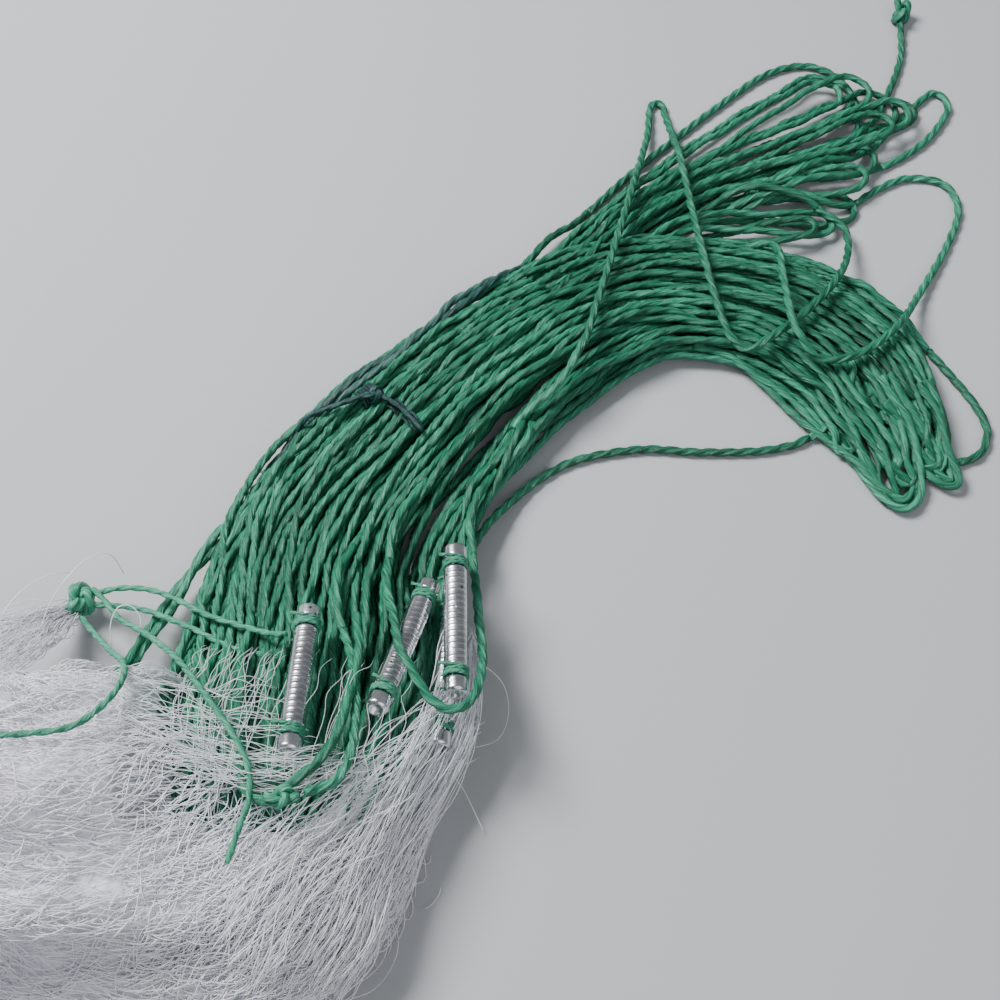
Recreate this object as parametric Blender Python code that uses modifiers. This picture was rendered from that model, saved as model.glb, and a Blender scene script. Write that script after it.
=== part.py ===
"""A gill net put away for carrying: a gathered bundle of white monofilament netting,
its green head and foot ropes laid up in one curved hank, a twine tie round the hank's
back edge, and small tinned sinkers lashed to the foot rope.

The origin is at the middle of the flat face on which the netting rests. +X runs along
the bundle towards the ropes, +Y runs away from the user, and +Z is up.
"""

import math

import bmesh
import bpy
import numpy as np
from mathutils import Matrix, Vector

# ---------------------------------------------------------------- driving sizes, metres
MM = 0.001
OBJECT_NAME = "gill_net"

ROPE_DIAMETER = 1.8 * MM
TWINE_DIAMETER = 1.2 * MM
SEIZING_DIAMETER = 0.8 * MM
CLEARANCE = 0.3 * MM
FLOOR_GAP = 0.05 * MM

SINKER_LENGTH = 32.0 * MM
SINKER_RADIUS = 2.2 * MM
SINKER_NECK_RADIUS = 1.7 * MM
SINKER_BEAD_LENGTH = 3.0 * MM
SINKER_NECK_LENGTH = 2.2 * MM
SINKER_EDGE = 0.7 * MM

# The bundle of netting. Each row is one section across it, from its front edge to its
# back edge, all in millimetres: front x, front y, back x, back y, height.
NET_SECTIONS = (
    # front_x, front_y, back_x, back_y, height
    (-78.0, -7.0, -78.0, 8.0, 14.0),
    (-74.0, -17.0, -74.0, 17.0, 28.0),
    (-60.0, -25.0, -59.0, 23.0, 40.0),
    (-34.0, -27.0, -34.0, 25.0, 45.0),
    (-8.0, -26.0, -8.0, 24.0, 42.0),
    (15.0, -27.0, 11.0, 25.0, 37.0),
    (34.0, -29.0, 31.0, 29.0, 27.5),
    (50.0, -28.0, 52.0, 33.0, 21.0),
    (61.0, -23.0, 67.0, 36.0, 15.5),
    (68.0, -13.0, 76.0, 35.0, 8.0),
    (71.0, -3.0, 80.0, 30.0, 4.5),
)
NET_RINGS = 30
NET_SIDES = 30
NET_FOLDS = 8
NET_FOLD_DEPTH = 2.6 * MM
NET_FOLD_TWIST = 11.0
NET_TALLEST = 45.0 * MM

# The hank of rope: its middle line and its section, all in millimetres.
HANK_SECTIONS = (
    # x, y, width, thickness, lift
    (50.0, 10.0, 48.0, 6.0, 6.5),
    (51.5, 38.0, 58.0, 6.5, 3.0),
    (53.0, 56.0, 53.0, 7.5, 0.5),
    (58.0, 70.0, 45.0, 9.0, 0.0),
    (66.7, 83.7, 41.0, 10.0, 0.0),
    (78.6, 98.8, 40.0, 10.5, 0.0),
    (95.0, 114.7, 39.0, 10.5, 0.0),
    (109.0, 123.5, 37.0, 10.5, 0.0),
    (122.0, 127.0, 34.0, 10.0, 0.0),
    (139.0, 125.0, 34.0, 9.5, 0.0),
    (151.5, 119.0, 35.0, 9.0, 0.0),
    (161.0, 108.5, 33.0, 8.0, 0.0),
    (166.0, 97.3, 28.0, 7.0, 0.0),
    (169.0, 86.0, 20.0, 5.5, 0.0),
    (169.5, 76.0, 11.0, 3.6, 0.0),
)
HANK_RINGS = 42
HANK_SIDES = 26
POCKET_RINGS = 12
HANK_TWISTS = 8
HANK_TWIST_DEPTH = 0.7 * MM
HANK_TWIST_TURN = 2.2

# The upper branch of the hank, whose bights lie apart from the rest.
BRANCH_SECTIONS = (
    # x, y, width, thickness, lift
    (97.0, 123.0, 20.0, 8.5, 0.0),
    (108.0, 138.0, 21.0, 8.0, 0.0),
    (123.0, 153.0, 24.0, 7.0, 0.0),
    (139.0, 165.0, 28.0, 5.5, 0.0),
    (153.0, 176.0, 26.0, 4.2, 0.0),
    (163.0, 186.0, 13.0, 3.0, 0.0),
)
BRANCH_RINGS = 14

# The sinkers, by the middles of their end faces, in millimetres.
SINKERS = (
    # name, upper x, upper y, upper z, lower x, lower y, lower z
    ("sinker_left", 50.0, 39.5, 18.5, 49.5, 9.0, 25.7),
    ("sinker_right", 76.4, 54.6, 16.0, 77.2, 22.0, 19.2),
    ("sinker_middle", 71.7, 47.8, 13.2, 63.4, 18.5, 21.6),
    ("sinker_under", 76.2, 46.6, 10.4, 74.0, 14.3, 13.5),
)

# Ropes that lie loose, in millimetres.
LOOSE_ROPES = {
    "loose_rope_stray": (
        (79.5, 60.0, 6.5), (83.0, 67.0, 4.5), (88.0, 74.0, 2.0), (94.0, 80.0, 1.0),
        (102.0, 84.5, 1.0), (115.0, 87.0, 1.0), (127.0, 86.3, 1.0), (139.0, 86.5, 1.0),
        (147.0, 88.0, 1.0), (151.0, 90.0, 1.0),
    ),
    "loose_rope_zigzag": (
        (103.0, 107.0, 12.2), (107.0, 121.0, 12.5), (111.5, 138.0, 11.4),
        (114.3, 149.0, 9.9), (116.5, 158.0, 8.4), (119.0, 169.0, 4.8),
        (121.5, 180.5, 2.0), (124.0, 193.0, 1.0), (126.3, 184.0, 2.0),
        (127.3, 177.0, 4.4), (128.0, 166.0, 8.2), (129.5, 146.0, 9.6),
        (131.0, 128.0, 11.7), (133.5, 114.0, 10.8), (137.5, 107.0, 9.4),
        (143.5, 110.0, 10.4), (152.0, 117.0, 10.9), (160.0, 127.0, 9.8),
        (165.0, 139.0, 5.0), (165.5, 148.0, 3.6), (160.0, 153.5, 4.0),
    ),
    "loose_rope_big_loop": (
        (148.0, 134.0, 10.0), (147.5, 121.0, 12.6), (148.5, 110.5, 12.9),
        (153.5, 104.5, 10.0), (162.0, 106.0, 9.6), (171.5, 114.0, 8.8),
        (180.0, 128.0, 2.6), (189.5, 144.0, 1.0), (194.5, 156.0, 1.0),
        (192.5, 164.5, 1.0), (184.0, 166.5, 1.0), (176.5, 163.0, 1.0),
        (170.0, 158.0, 1.0),
    ),
    "loose_rope_side_loop": (
        (180.5, 113.5, 1.0), (184.0, 107.0, 1.0), (188.0, 99.0, 1.0),
        (189.5, 92.0, 1.0), (187.0, 86.0, 1.0), (182.0, 83.5, 1.0),
    ),
    "loose_rope_crest": (
        (106.0, 155.0, 1.2), (116.0, 167.0, 1.0), (127.5, 179.0, 1.0),
        (140.0, 191.5, 1.0), (153.0, 203.0, 1.0), (163.5, 206.5, 1.0),
        (171.5, 202.0, 1.0), (175.0, 192.0, 1.0), (174.0, 183.0, 1.0),
        (170.5, 175.5, 1.0),
    ),
    "loose_rope_tip": (
        (177.0, 176.5, 1.0), (183.0, 184.0, 1.0), (190.0, 192.0, 1.0),
        (195.5, 196.5, 1.0), (198.0, 191.0, 1.0), (192.0, 181.0, 1.0),
        (185.0, 174.5, 1.0), (178.0, 170.0, 1.0),
    ),
    "loose_rope_end": (
        (179.0, 186.5, 1.0), (182.0, 193.0, 1.0), (186.0, 201.5, 1.0),
        (189.0, 210.0, 1.0), (190.0, 216.0, 1.2), (190.4, 221.0, 1.8),
    ),
    "loose_rope_round_sinker": (
        (79.5, 56.5, 9.6), (80.5, 47.0, 11.5), (81.0, 40.3, 13.0),
        (81.8, 30.6, 16.0), (80.5, 22.0, 20.0), (77.0, 18.6, 21.4),
        (73.0, 20.0, 22.4), (69.0, 25.9, 24.2), (67.0, 30.1, 23.2),
        (65.3, 38.6, 19.0), (63.6, 46.4, 15.0), (63.5, 54.1, 11.6),
    ),
    "loose_rope_under_knot": (
        (55.8, 37.7, 14.0), (58.5, 28.7, 18.0), (60.0, 17.5, 22.4),
        (59.8, 9.7, 24.6), (57.7, 4.0, 25.6), (53.0, 1.4, 27.2),
    ),
}

# Twines that lie loose over the netting, in millimetres.
LOOSE_TWINES = {
    "loose_twine_upper": (
        (46.0, 34.4, 19.0), (43.0, 35.6, 16.6), (38.6, 37.7, 14.5),
        (35.9, 39.0, 13.5), (29.6, 41.8, 12.2), (23.7, 45.6, 10.6),
        (17.4, 49.0, 8.6), (11.0, 50.5, 6.6), (6.2, 50.0, 5.6),
    ),
    "loose_twine_lower": (
        (42.8, 32.5, 14.0), (38.5, 33.4, 13.4), (33.7, 35.3, 12.8),
        (27.6, 39.0, 11.6), (22.8, 41.8, 9.8), (18.0, 44.5, 8.0),
        (12.5, 46.7, 6.0), (6.8, 47.6, 5.0),
    ),
    "loose_twine_tail": (
        (12.0, 43.0, 7.4), (18.0, 38.5, 11.0), (23.0, 33.5, 16.0),
        (28.5, 27.0, 22.5), (34.0, 19.4, 28.0), (39.0, 13.0, 28.8),
        (43.0, 6.5, 28.2), (44.0, 0.5, 27.8), (42.8, -4.7, 27.6),
        (41.3, -10.3, 26.8),
    ),
    "loose_twine_into_net": (
        (3.8, 44.6, 5.6), (8.0, 39.5, 9.0), (13.0, 33.5, 14.0),
        (18.0, 27.5, 22.0), (20.8, 21.0, 29.4), (20.0, 14.5, 34.0),
        (16.0, 9.0, 36.8), (9.0, 6.5, 39.6), (1.0, 5.2, 42.0), (-8.0, 4.0, 43.6),
    ),
}

# Knots: lumps of worked rope and twine, in millimetres.
KNOTS = (
    # name, x, y, z, half length, half width, half height, heading in degrees
    ("knot_left", 2.4, 48.6, 4.6, 3.4, 2.6, 2.4, 70.0),
    ("knot_middle", 48.9, 0.6, 27.4, 2.8, 2.0, 1.7, 15.0),
    ("knot_rope_end", 191.0, 225.7, 2.7, 4.2, 2.6, 2.6, 78.0),
    ("knot_tie", 58.6, 94.2, 10.8, 2.4, 1.8, 1.5, 30.0),
)

# The tie: a dark twine that comes round the back edge of the hank, in millimetres.
TIE_ROUTE = (
    (40.8, 86.6, 1.0), (41.8, 88.4, 4.6), (45.2, 90.2, 8.8),
    (50.8, 91.8, 10.3), (54.9, 93.2, 11.0),
)
TIE_TAIL = (
    (61.4, 93.0, 11.0), (64.2, 90.6, 11.4), (66.6, 87.8, 11.6), (69.0, 84.6, 11.6),
)

# Finishes: colour, roughness, metallic.
FINISHES = {
    "monofilament": ((0.86, 0.86, 0.90), 0.35, 0.0),
    "green_rope": ((0.07, 0.36, 0.22), 0.42, 0.0),
    "dark_twine": ((0.01, 0.10, 0.09), 0.55, 0.0),
    "tinned_metal": ((0.62, 0.63, 0.66), 0.28, 1.0),
}


# ---------------------------------------------------------------- scene and materials
def empty_scene():
    """Remove whatever the file holds."""
    for thing in list(bpy.data.objects):
        bpy.data.objects.remove(thing, do_unlink=True)


def new_collection(name):
    """A collection linked to the scene."""
    made = bpy.data.collections.new(name)
    bpy.context.scene.collection.children.link(made)
    return made


def finish(name):
    """The Principled material of a finish, made once."""
    made = bpy.data.materials.get(name)
    if made:
        return made
    colour, roughness, metallic = FINISHES[name]
    made = bpy.data.materials.new(name)
    made.use_nodes = True
    shader = made.node_tree.nodes["Principled BSDF"]
    shader.inputs["Base Color"].default_value = (*colour, 1.0)
    shader.inputs["Roughness"].default_value = roughness
    shader.inputs["Metallic"].default_value = metallic
    made.diffuse_color = (*colour, 1.0)
    return made


def add_object(name, data, collection, finish_name):
    """An object of this data in the collection, with its finish."""
    made = bpy.data.objects.new(name, data)
    collection.objects.link(made)
    data.materials.append(finish(finish_name))
    return made


# ---------------------------------------------------------------- smooth lines and lofts
def smooth_rows(rows, count):
    """Read a table of rows as a Catmull-Rom curve, at even steps along its length."""
    points = np.array(rows, dtype=float)
    padded = np.vstack([2 * points[0] - points[1], points, 2 * points[-1] - points[-2]])
    fine_steps = 24
    t = np.linspace(0, 1, fine_steps, endpoint=False)[:, None]
    runs = []
    for a, b, c, d in zip(padded[:-3], padded[1:-2], padded[2:-1], padded[3:]):
        runs.append(
            0.5 * (2 * b + (c - a) * t
                   + (2 * a - 5 * b + 4 * c - d) * t**2
                   + (3 * b - a - 3 * c + d) * t**3)
        )
    fine = np.vstack([*runs, points[-1:]])
    steps = np.linalg.norm(np.diff(fine[:, :3], axis=0), axis=1)
    along = np.concatenate([[0.0], np.cumsum(steps)])
    wanted = np.linspace(0, along[-1], count)
    columns = [np.interp(wanted, along, fine[:, k]) for k in range(fine.shape[1])]
    return np.stack(columns, axis=1), along[-1]


def loft(name, rings, collection, finish_name):
    """A closed skin over rings of equal count, with a fan of faces on each end."""
    mesh = bpy.data.meshes.new(name)
    body = bmesh.new()
    rows = [[body.verts.new(point) for point in ring] for ring in rings]
    sides = len(rows[0])
    for low, high in zip(rows[:-1], rows[1:]):
        for k in range(sides):
            other = (k + 1) % sides
            body.faces.new((low[k], low[other], high[other], high[k]))
    for ring, points, turn in ((rows[0], rings[0], -1), (rows[-1], rings[-1], 1)):
        middle = body.verts.new(np.mean(points, axis=0))
        for k in range(sides):
            pair = (ring[k], ring[(k + 1) % sides])
            body.faces.new((*pair[::turn], middle))
    bmesh.ops.triangulate(body, faces=body.faces)
    bmesh.ops.recalc_face_normals(body, faces=body.faces)
    body.to_mesh(mesh)
    body.free()
    mesh.shade_smooth()
    return add_object(name, mesh, collection, finish_name)


def union_into(target, other):
    """Join another object's solid to the target, and remove the other."""
    joining = target.modifiers.new("join", "BOOLEAN")
    joining.operation = "UNION"
    joining.object = other
    apply_modifiers(target)
    bpy.data.objects.remove(other, do_unlink=True)


def cut_from(target, cutter):
    """Cut the cutter's solid out of the target."""
    cutting = target.modifiers.new("cut", "BOOLEAN")
    cutting.operation = "DIFFERENCE"
    cutting.object = cutter


def apply_modifiers(thing):
    """Replace an object's mesh by its evaluated one."""
    bpy.context.view_layer.update()
    graph = bpy.context.evaluated_depsgraph_get()
    made = bpy.data.meshes.new_from_object(thing.evaluated_get(graph))
    thing.modifiers.clear()
    thing.data = made


# ---------------------------------------------------------------- the netting
def net_bundle(collection):
    """The gathered netting: flat below, rounded above, with lengthwise folds."""
    rows, _ = smooth_rows([(*s[:2], 0.0, *s[2:]) for s in NET_SECTIONS], NET_RINGS)
    rows = rows * MM
    front, back, height = rows[:, 0:2], rows[:, 3:5], rows[:, 5]
    angle = np.linspace(0, 2 * math.pi, NET_SIDES, endpoint=False)
    across = np.sign(np.cos(angle)) * np.abs(np.cos(angle)) ** 0.85
    sink = 0.62
    up = np.clip((np.sin(angle) + sink) / (1 + sink), 0, None)
    rings = []
    for k in range(NET_RINGS):
        turn = NET_FOLD_TWIST * k / NET_RINGS
        fold = NET_FOLD_DEPTH * np.cos(NET_FOLDS * angle + turn) * (up > 0)
        reach = fold * min(1.0, (height[k] / NET_TALLEST) ** 1.5)
        middle = (front[k] + back[k]) / 2
        half = (back[k] - front[k]) / 2
        size = np.linalg.norm(half)
        flat = middle + np.outer(across * (1 + reach / size), half)
        tall = up * (height[k] + reach)
        rings.append(np.column_stack([flat, tall]))
    return loft("net_bundle", rings, collection, "monofilament")


# ---------------------------------------------------------------- the hank of rope
def hank_rings(sections, count, grow=0.0):
    """Sections of laid-up rope: flat below, rounded above, with slowly turning twists.

    A grown set has no twists and stands clear of the rope by the amount given.
    """
    rows, _ = smooth_rows(
        [(x, y, 0.0, width, thick, lift) for x, y, width, thick, lift in sections], count
    )
    rows = rows * MM
    course = np.gradient(rows[:, :2], axis=0)
    course /= np.linalg.norm(course, axis=1)[:, None]
    side = np.column_stack([-course[:, 1], course[:, 0]])
    angle = np.linspace(0, 2 * math.pi, HANK_SIDES, endpoint=False)
    across = np.sign(np.cos(angle)) * np.abs(np.cos(angle)) ** 0.8
    sink = 0.7
    up = np.clip((np.sin(angle) + sink) / (1 + sink), 0, None)
    rings = []
    for k in range(count):
        turn = HANK_TWIST_TURN * 2 * math.pi * k / count
        twist = HANK_TWIST_DEPTH * np.cos(HANK_TWISTS * angle + turn) * (up > 0)
        twist = np.full_like(twist, HANK_TWIST_DEPTH) if grow else twist
        half = rows[k, 3] / 2 + grow
        flat = rows[k, :2] - np.outer(across * (half + twist), side[k])
        tall = up * (rows[k, 4] + 2 * grow + twist) + rows[k, 5] - grow
        rings.append(np.column_stack([flat, tall]))
    return rings


def rope_hank(collection):
    """The whole hank: the main arc and the branch of bights that leaves it."""
    hank = loft("rope_hank", hank_rings(HANK_SECTIONS, HANK_RINGS), collection, "green_rope")
    branch = loft(
        "rope_branch", hank_rings(BRANCH_SECTIONS, BRANCH_RINGS), collection, "green_rope"
    )
    union_into(hank, branch)
    return hank


def hank_pocket(collection):
    """The room that the hank's inner end takes up in the netting."""
    rings = hank_rings(HANK_SECTIONS, HANK_RINGS, grow=CLEARANCE + 0.2 * MM)
    inner = rings[0] + (rings[0] - rings[1]) * 0.2
    pocket = loft(
        "hank_pocket", [inner, *rings[:POCKET_RINGS]], collection, "green_rope"
    )
    pocket.hide_render = True
    pocket.display_type = "WIRE"
    return pocket


# ---------------------------------------------------------------- sinkers
def sinker_profile():
    """Half outline of a sinker, from its top end down: bead, neck, barrel, neck, bead."""
    half = SINKER_LENGTH / 2
    bead = half - SINKER_BEAD_LENGTH
    neck = bead - SINKER_NECK_LENGTH
    upper = [
        (0.0, half),
        (SINKER_RADIUS - SINKER_EDGE, half),
        (SINKER_RADIUS, half - SINKER_EDGE),
        (SINKER_RADIUS, bead + SINKER_EDGE / 2),
        (SINKER_NECK_RADIUS, bead - SINKER_EDGE / 2),
        (SINKER_NECK_RADIUS, neck + SINKER_EDGE / 2),
        (SINKER_RADIUS, neck - SINKER_EDGE / 2),
    ]
    return upper + [(x, -z) for x, z in reversed(upper)]


def turned(name, outline, steps, collection, finish_name):
    """A solid of revolution about Z from a half outline that runs top to bottom."""
    mesh = bpy.data.meshes.new(name)
    points = [(x, 0.0, z) for x, z in outline]
    edges = [(k, k + 1) for k in range(len(points) - 1)]
    mesh.from_pydata(points, edges, [])
    made = add_object(name, mesh, collection, finish_name)
    screw = made.modifiers.new("turn", "SCREW")
    screw.axis = "Z"
    screw.steps = steps
    screw.render_steps = steps
    screw.use_merge_vertices = True
    screw.merge_threshold = 0.00001
    return made


def sinkers_and_seizings(collection):
    """Each sinker between its two ends, with a turn of twine lashed in each neck."""
    neck_middle = SINKER_LENGTH / 2 - SINKER_BEAD_LENGTH - SINKER_NECK_LENGTH / 2
    ring_radius = SINKER_NECK_RADIUS + CLEARANCE + SEIZING_DIAMETER / 2
    for name, *ends in SINKERS:
        upper = Vector(ends[:3]) * MM
        lower = Vector(ends[3:]) * MM
        lie = (upper - lower).to_track_quat("Z", "Y").to_matrix().to_4x4()
        place = Matrix.Translation((upper + lower) / 2) @ lie
        sinker = turned(name, sinker_profile(), 12, collection, "tinned_metal")
        sinker.matrix_world = place
        for end, sign in (("upper", 1), ("lower", -1)):
            bpy.ops.mesh.primitive_torus_add(
                major_radius=ring_radius,
                minor_radius=SEIZING_DIAMETER / 2,
                major_segments=12,
                minor_segments=6,
            )
            seizing = bpy.context.object
            for holder in list(seizing.users_collection):
                holder.objects.unlink(seizing)
            collection.objects.link(seizing)
            seizing.name = f"{name.replace('sinker', 'seizing')}_{end}"
            seizing.data.materials.append(finish("green_rope"))
            seizing.matrix_world = place @ Matrix.Translation((0, 0, sign * neck_middle))


# ---------------------------------------------------------------- loose ropes and knots
def cord(name, route, diameter, collection, finish_name):
    """A round cord laid along a smooth line through its route's points."""
    _, length = smooth_rows(route, 4)
    count = max(6, round(length * MM / (2.6 * diameter)) + 1)
    points, _ = smooth_rows(route, count)
    points = points * MM
    points[:, 2] = np.maximum(points[:, 2], diameter / 2 + FLOOR_GAP)
    line = bpy.data.curves.new(name, "CURVE")
    line.dimensions = "3D"
    line.bevel_depth = diameter / 2
    line.bevel_resolution = 2
    line.use_fill_caps = True
    run = line.splines.new("POLY")
    run.points.add(count - 1)
    for spot, place in zip(run.points, points):
        spot.co = (*place, 1.0)
    return add_object(name, line, collection, finish_name)


def knots(collection):
    """Rounded lumps where ropes and twines are knotted."""
    for name, x, y, z, half_length, half_width, half_height, heading in KNOTS:
        body = bmesh.new()
        bmesh.ops.create_icosphere(body, subdivisions=2, radius=1.0)
        mesh = bpy.data.meshes.new(name)
        size = Matrix.Diagonal((half_length * MM, half_width * MM, half_height * MM, 1.0))
        bmesh.ops.transform(body, matrix=size, verts=body.verts)
        body.to_mesh(mesh)
        body.free()
        mesh.shade_smooth()
        made = add_object(
            name, mesh, collection, "dark_twine" if name == "knot_tie" else "green_rope"
        )
        made.location = (x * MM, y * MM, z * MM)
        made.rotation_euler.z = math.radians(heading)


def loose_cords(collection):
    """Every loose rope, every loose twine, and the dark tie with its tail."""
    for name, route in LOOSE_ROPES.items():
        cord(name, route, ROPE_DIAMETER, collection, "green_rope")
    for name, route in LOOSE_TWINES.items():
        cord(name, route, TWINE_DIAMETER, collection, "green_rope")
    cord("hank_tie", TIE_ROUTE, TWINE_DIAMETER, collection, "dark_twine")
    cord("hank_tie_tail", TIE_TAIL, TWINE_DIAMETER, collection, "dark_twine")


# ---------------------------------------------------------------- the whole object
empty_scene()
parts = new_collection(OBJECT_NAME)
cutters = new_collection("cutters")
netting = net_bundle(parts)
rope_hank(parts)
cut_from(netting, hank_pocket(cutters))
sinkers_and_seizings(parts)
knots(parts)
loose_cords(parts)
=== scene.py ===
"""The looks of a gill net put away for carrying: a bundle of white netting, its green ropes
in one curved hank, the small sinkers of the foot rope, and every knot and tie between them.
Lengths are in metres, or in millimetres where a table says so."""

from math import pi, radians

import bpy
import numpy as np
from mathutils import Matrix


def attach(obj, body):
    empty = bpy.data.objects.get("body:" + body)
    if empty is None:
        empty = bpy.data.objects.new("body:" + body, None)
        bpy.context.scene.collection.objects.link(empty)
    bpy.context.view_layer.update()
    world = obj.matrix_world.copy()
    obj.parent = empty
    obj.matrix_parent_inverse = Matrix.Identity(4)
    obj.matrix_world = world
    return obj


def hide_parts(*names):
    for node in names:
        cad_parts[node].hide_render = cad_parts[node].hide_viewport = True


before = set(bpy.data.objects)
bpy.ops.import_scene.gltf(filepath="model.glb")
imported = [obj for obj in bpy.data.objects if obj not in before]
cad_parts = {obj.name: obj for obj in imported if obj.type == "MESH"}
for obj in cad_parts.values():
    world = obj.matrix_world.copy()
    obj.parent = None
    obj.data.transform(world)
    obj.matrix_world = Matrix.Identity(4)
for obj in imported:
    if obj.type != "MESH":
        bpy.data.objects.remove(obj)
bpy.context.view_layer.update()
MM = 0.001


# ---- Camera, floor and light.
# The net is seen from above its near side, on a plain pale floor, under one large soft lamp
# at the back left, a broad fill from the front and a pale sky.
CAMERA_PLACE = (0.085, -0.0787, 0.2459)
CAMERA_TILT = radians(32)
FLOOR_REACH = 3.0
camera = bpy.data.objects.new("camera", bpy.data.cameras.new("camera"))
camera.data.lens = 50
camera.data.sensor_width = 36
camera.location = CAMERA_PLACE
camera.rotation_euler = (CAMERA_TILT, 0, 0)
bpy.context.scene.collection.objects.link(camera)
bpy.context.scene.camera = camera


class Value:
    """One output of a shader node. Sums written with it add the Math nodes that work them out."""

    def __init__(self, tree, socket=None):
        self.tree = tree
        self.socket = socket

    def node(self, kind, settings=None, inputs=None, output=0):
        """Add a node of a kind: its settings first, then the value or link of each socket."""
        made = self.tree.nodes.new(kind)
        for name, setting in (settings or {}).items():
            if name == "stops":
                while len(made.color_ramp.elements) < len(setting):
                    made.color_ramp.elements.new(1.0)
                for stop, (place, shade) in zip(made.color_ramp.elements, setting):
                    stop.position = place
                    stop.color = (*shade, 1.0)
            else:
                setattr(made, name, setting)
        for name, value in (inputs or {}).items():
            if isinstance(value, Value):
                self.tree.links.new(value.socket, made.inputs[name])
            else:
                made.inputs[name].default_value = value
        return Value(self.tree, made.outputs[output])

    def maths(self, operation, *terms):
        """One Math node over the terms."""
        return self.node("ShaderNodeMath", {"operation": operation}, dict(enumerate(terms)))

    def __add__(self, other):
        return self.maths("ADD", self, other)

    def __sub__(self, other):
        return self.maths("SUBTRACT", self, other)

    def __rsub__(self, other):
        return self.maths("SUBTRACT", other, self)

    def __mul__(self, other):
        return self.maths("MULTIPLY", self, other)

    def spread(self, low, high):
        """The value carried from low..high on to 0..1, and held there."""
        inputs = {"Value": self, "From Min": low, "From Max": high}
        return self.node("ShaderNodeMapRange", {"clamp": True}, inputs)

    def noise(self, scale, detail=3.0, roughness=0.55):
        """Soft noise at the place that this value holds."""
        inputs = {"Vector": self, "Scale": scale, "Detail": detail, "Roughness": roughness}
        return self.node("ShaderNodeTexNoise", {}, inputs)

    def stretched(self, scale):
        """This place, scaled along each of its axes."""
        return self.node("ShaderNodeMapping", {}, {"Vector": self, "Scale": scale})

    def between(self, first, second):
        """The colour that lies this far from the first colour to the second."""
        inputs = {0: self, 6: first, 7: second}
        return self.node("ShaderNodeMix", {"data_type": "RGBA"}, inputs, output=2)

    def bump(self, strength, distance):
        """The slant that this height gives a surface."""
        inputs = {"Strength": strength, "Distance": distance, "Height": self}
        return self.node("ShaderNodeBump", {}, inputs)

    def lay(self):
        """The piece's own UV, which runs along its fibres or threads and round them."""
        return self.node("ShaderNodeUVMap", {"uv_map": "lay"})

    def tint(self):
        """The tint that each of the piece's vertices carries."""
        return self.node("ShaderNodeAttribute", {"attribute_name": "tint"}, output="Fac")


def blank_finish(name):
    """A new material: the material, its shader node, a Value to start from and the place."""
    made = bpy.data.materials.new(name)
    made.use_nodes = True
    start = Value(made.node_tree)
    place = start.node("ShaderNodeTexCoord", output="Object")
    return made, made.node_tree.nodes["Principled BSDF"], start, place


def colour(red, green, blue):
    """A colour with no see-through, as a shader's sockets take it."""
    return (red, green, blue, 1.0)


def apply_to(shader, **sockets):
    """Link or set a shader's sockets, whose names are given with _ for a space."""
    for name, value in sockets.items():
        socket = shader.inputs[name.replace("_", " ")]
        if isinstance(value, Value):
            value.tree.links.new(value.socket, socket)
        else:
            socket.default_value = value


def floor_finish():
    """Pale matt paper, hardly mottled."""
    made, shader, _, place = blank_finish("pale_floor")
    mottle = place.noise(6.0).between(colour(0.43, 0.44, 0.45), colour(0.46, 0.47, 0.48))
    apply_to(shader, Base_Color=mottle, Roughness=0.85)
    return made


def floor_sheet():
    """One flat round sheet under the object, wide enough for its rim to lie far off in every view."""
    turn = np.linspace(0, 2 * pi, 128, endpoint=False)
    mesh = bpy.data.meshes.new("floor")
    corners = np.stack([np.cos(turn), np.sin(turn), 0 * turn], axis=1) * FLOOR_REACH
    mesh.from_pydata(corners.tolist(), [], [range(len(turn))])
    mesh.materials.append(floor_finish())
    sheet = bpy.data.objects.new("floor", mesh)
    bpy.context.scene.collection.objects.link(sheet)


def lamp(name, place, aim, size, watts, shade):
    """A square soft lamp at a place, turned to face its aim."""
    light = bpy.data.lights.new(name, "AREA")
    light.size = size
    light.energy = watts
    light.color = shade
    made = bpy.data.objects.new(name, light)
    made.location = place
    away = np.array(place) - np.array(aim)
    flat = np.hypot(away[0], away[1])
    made.rotation_euler = (np.arctan2(flat, away[2]), 0, np.arctan2(away[0], -away[1]))
    bpy.context.scene.collection.objects.link(made)


floor_sheet()
lamp("key", (-0.36, 0.34, 0.66), (0.06, 0.06, 0), size=0.34, watts=13.0, shade=(0.99, 1.0, 1.0))
lamp("fill", (0.45, -0.62, 0.70), (0.06, 0.03, 0), size=0.8, watts=3.2, shade=(0.95, 0.97, 1.0))
world = bpy.data.worlds.new("soft_sky")
world.use_nodes = True
sky = world.node_tree.nodes["Background"].inputs
sky["Color"].default_value = colour(0.90, 0.94, 1.0)
sky["Strength"].default_value = 0.30
bpy.context.scene.world = world


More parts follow.
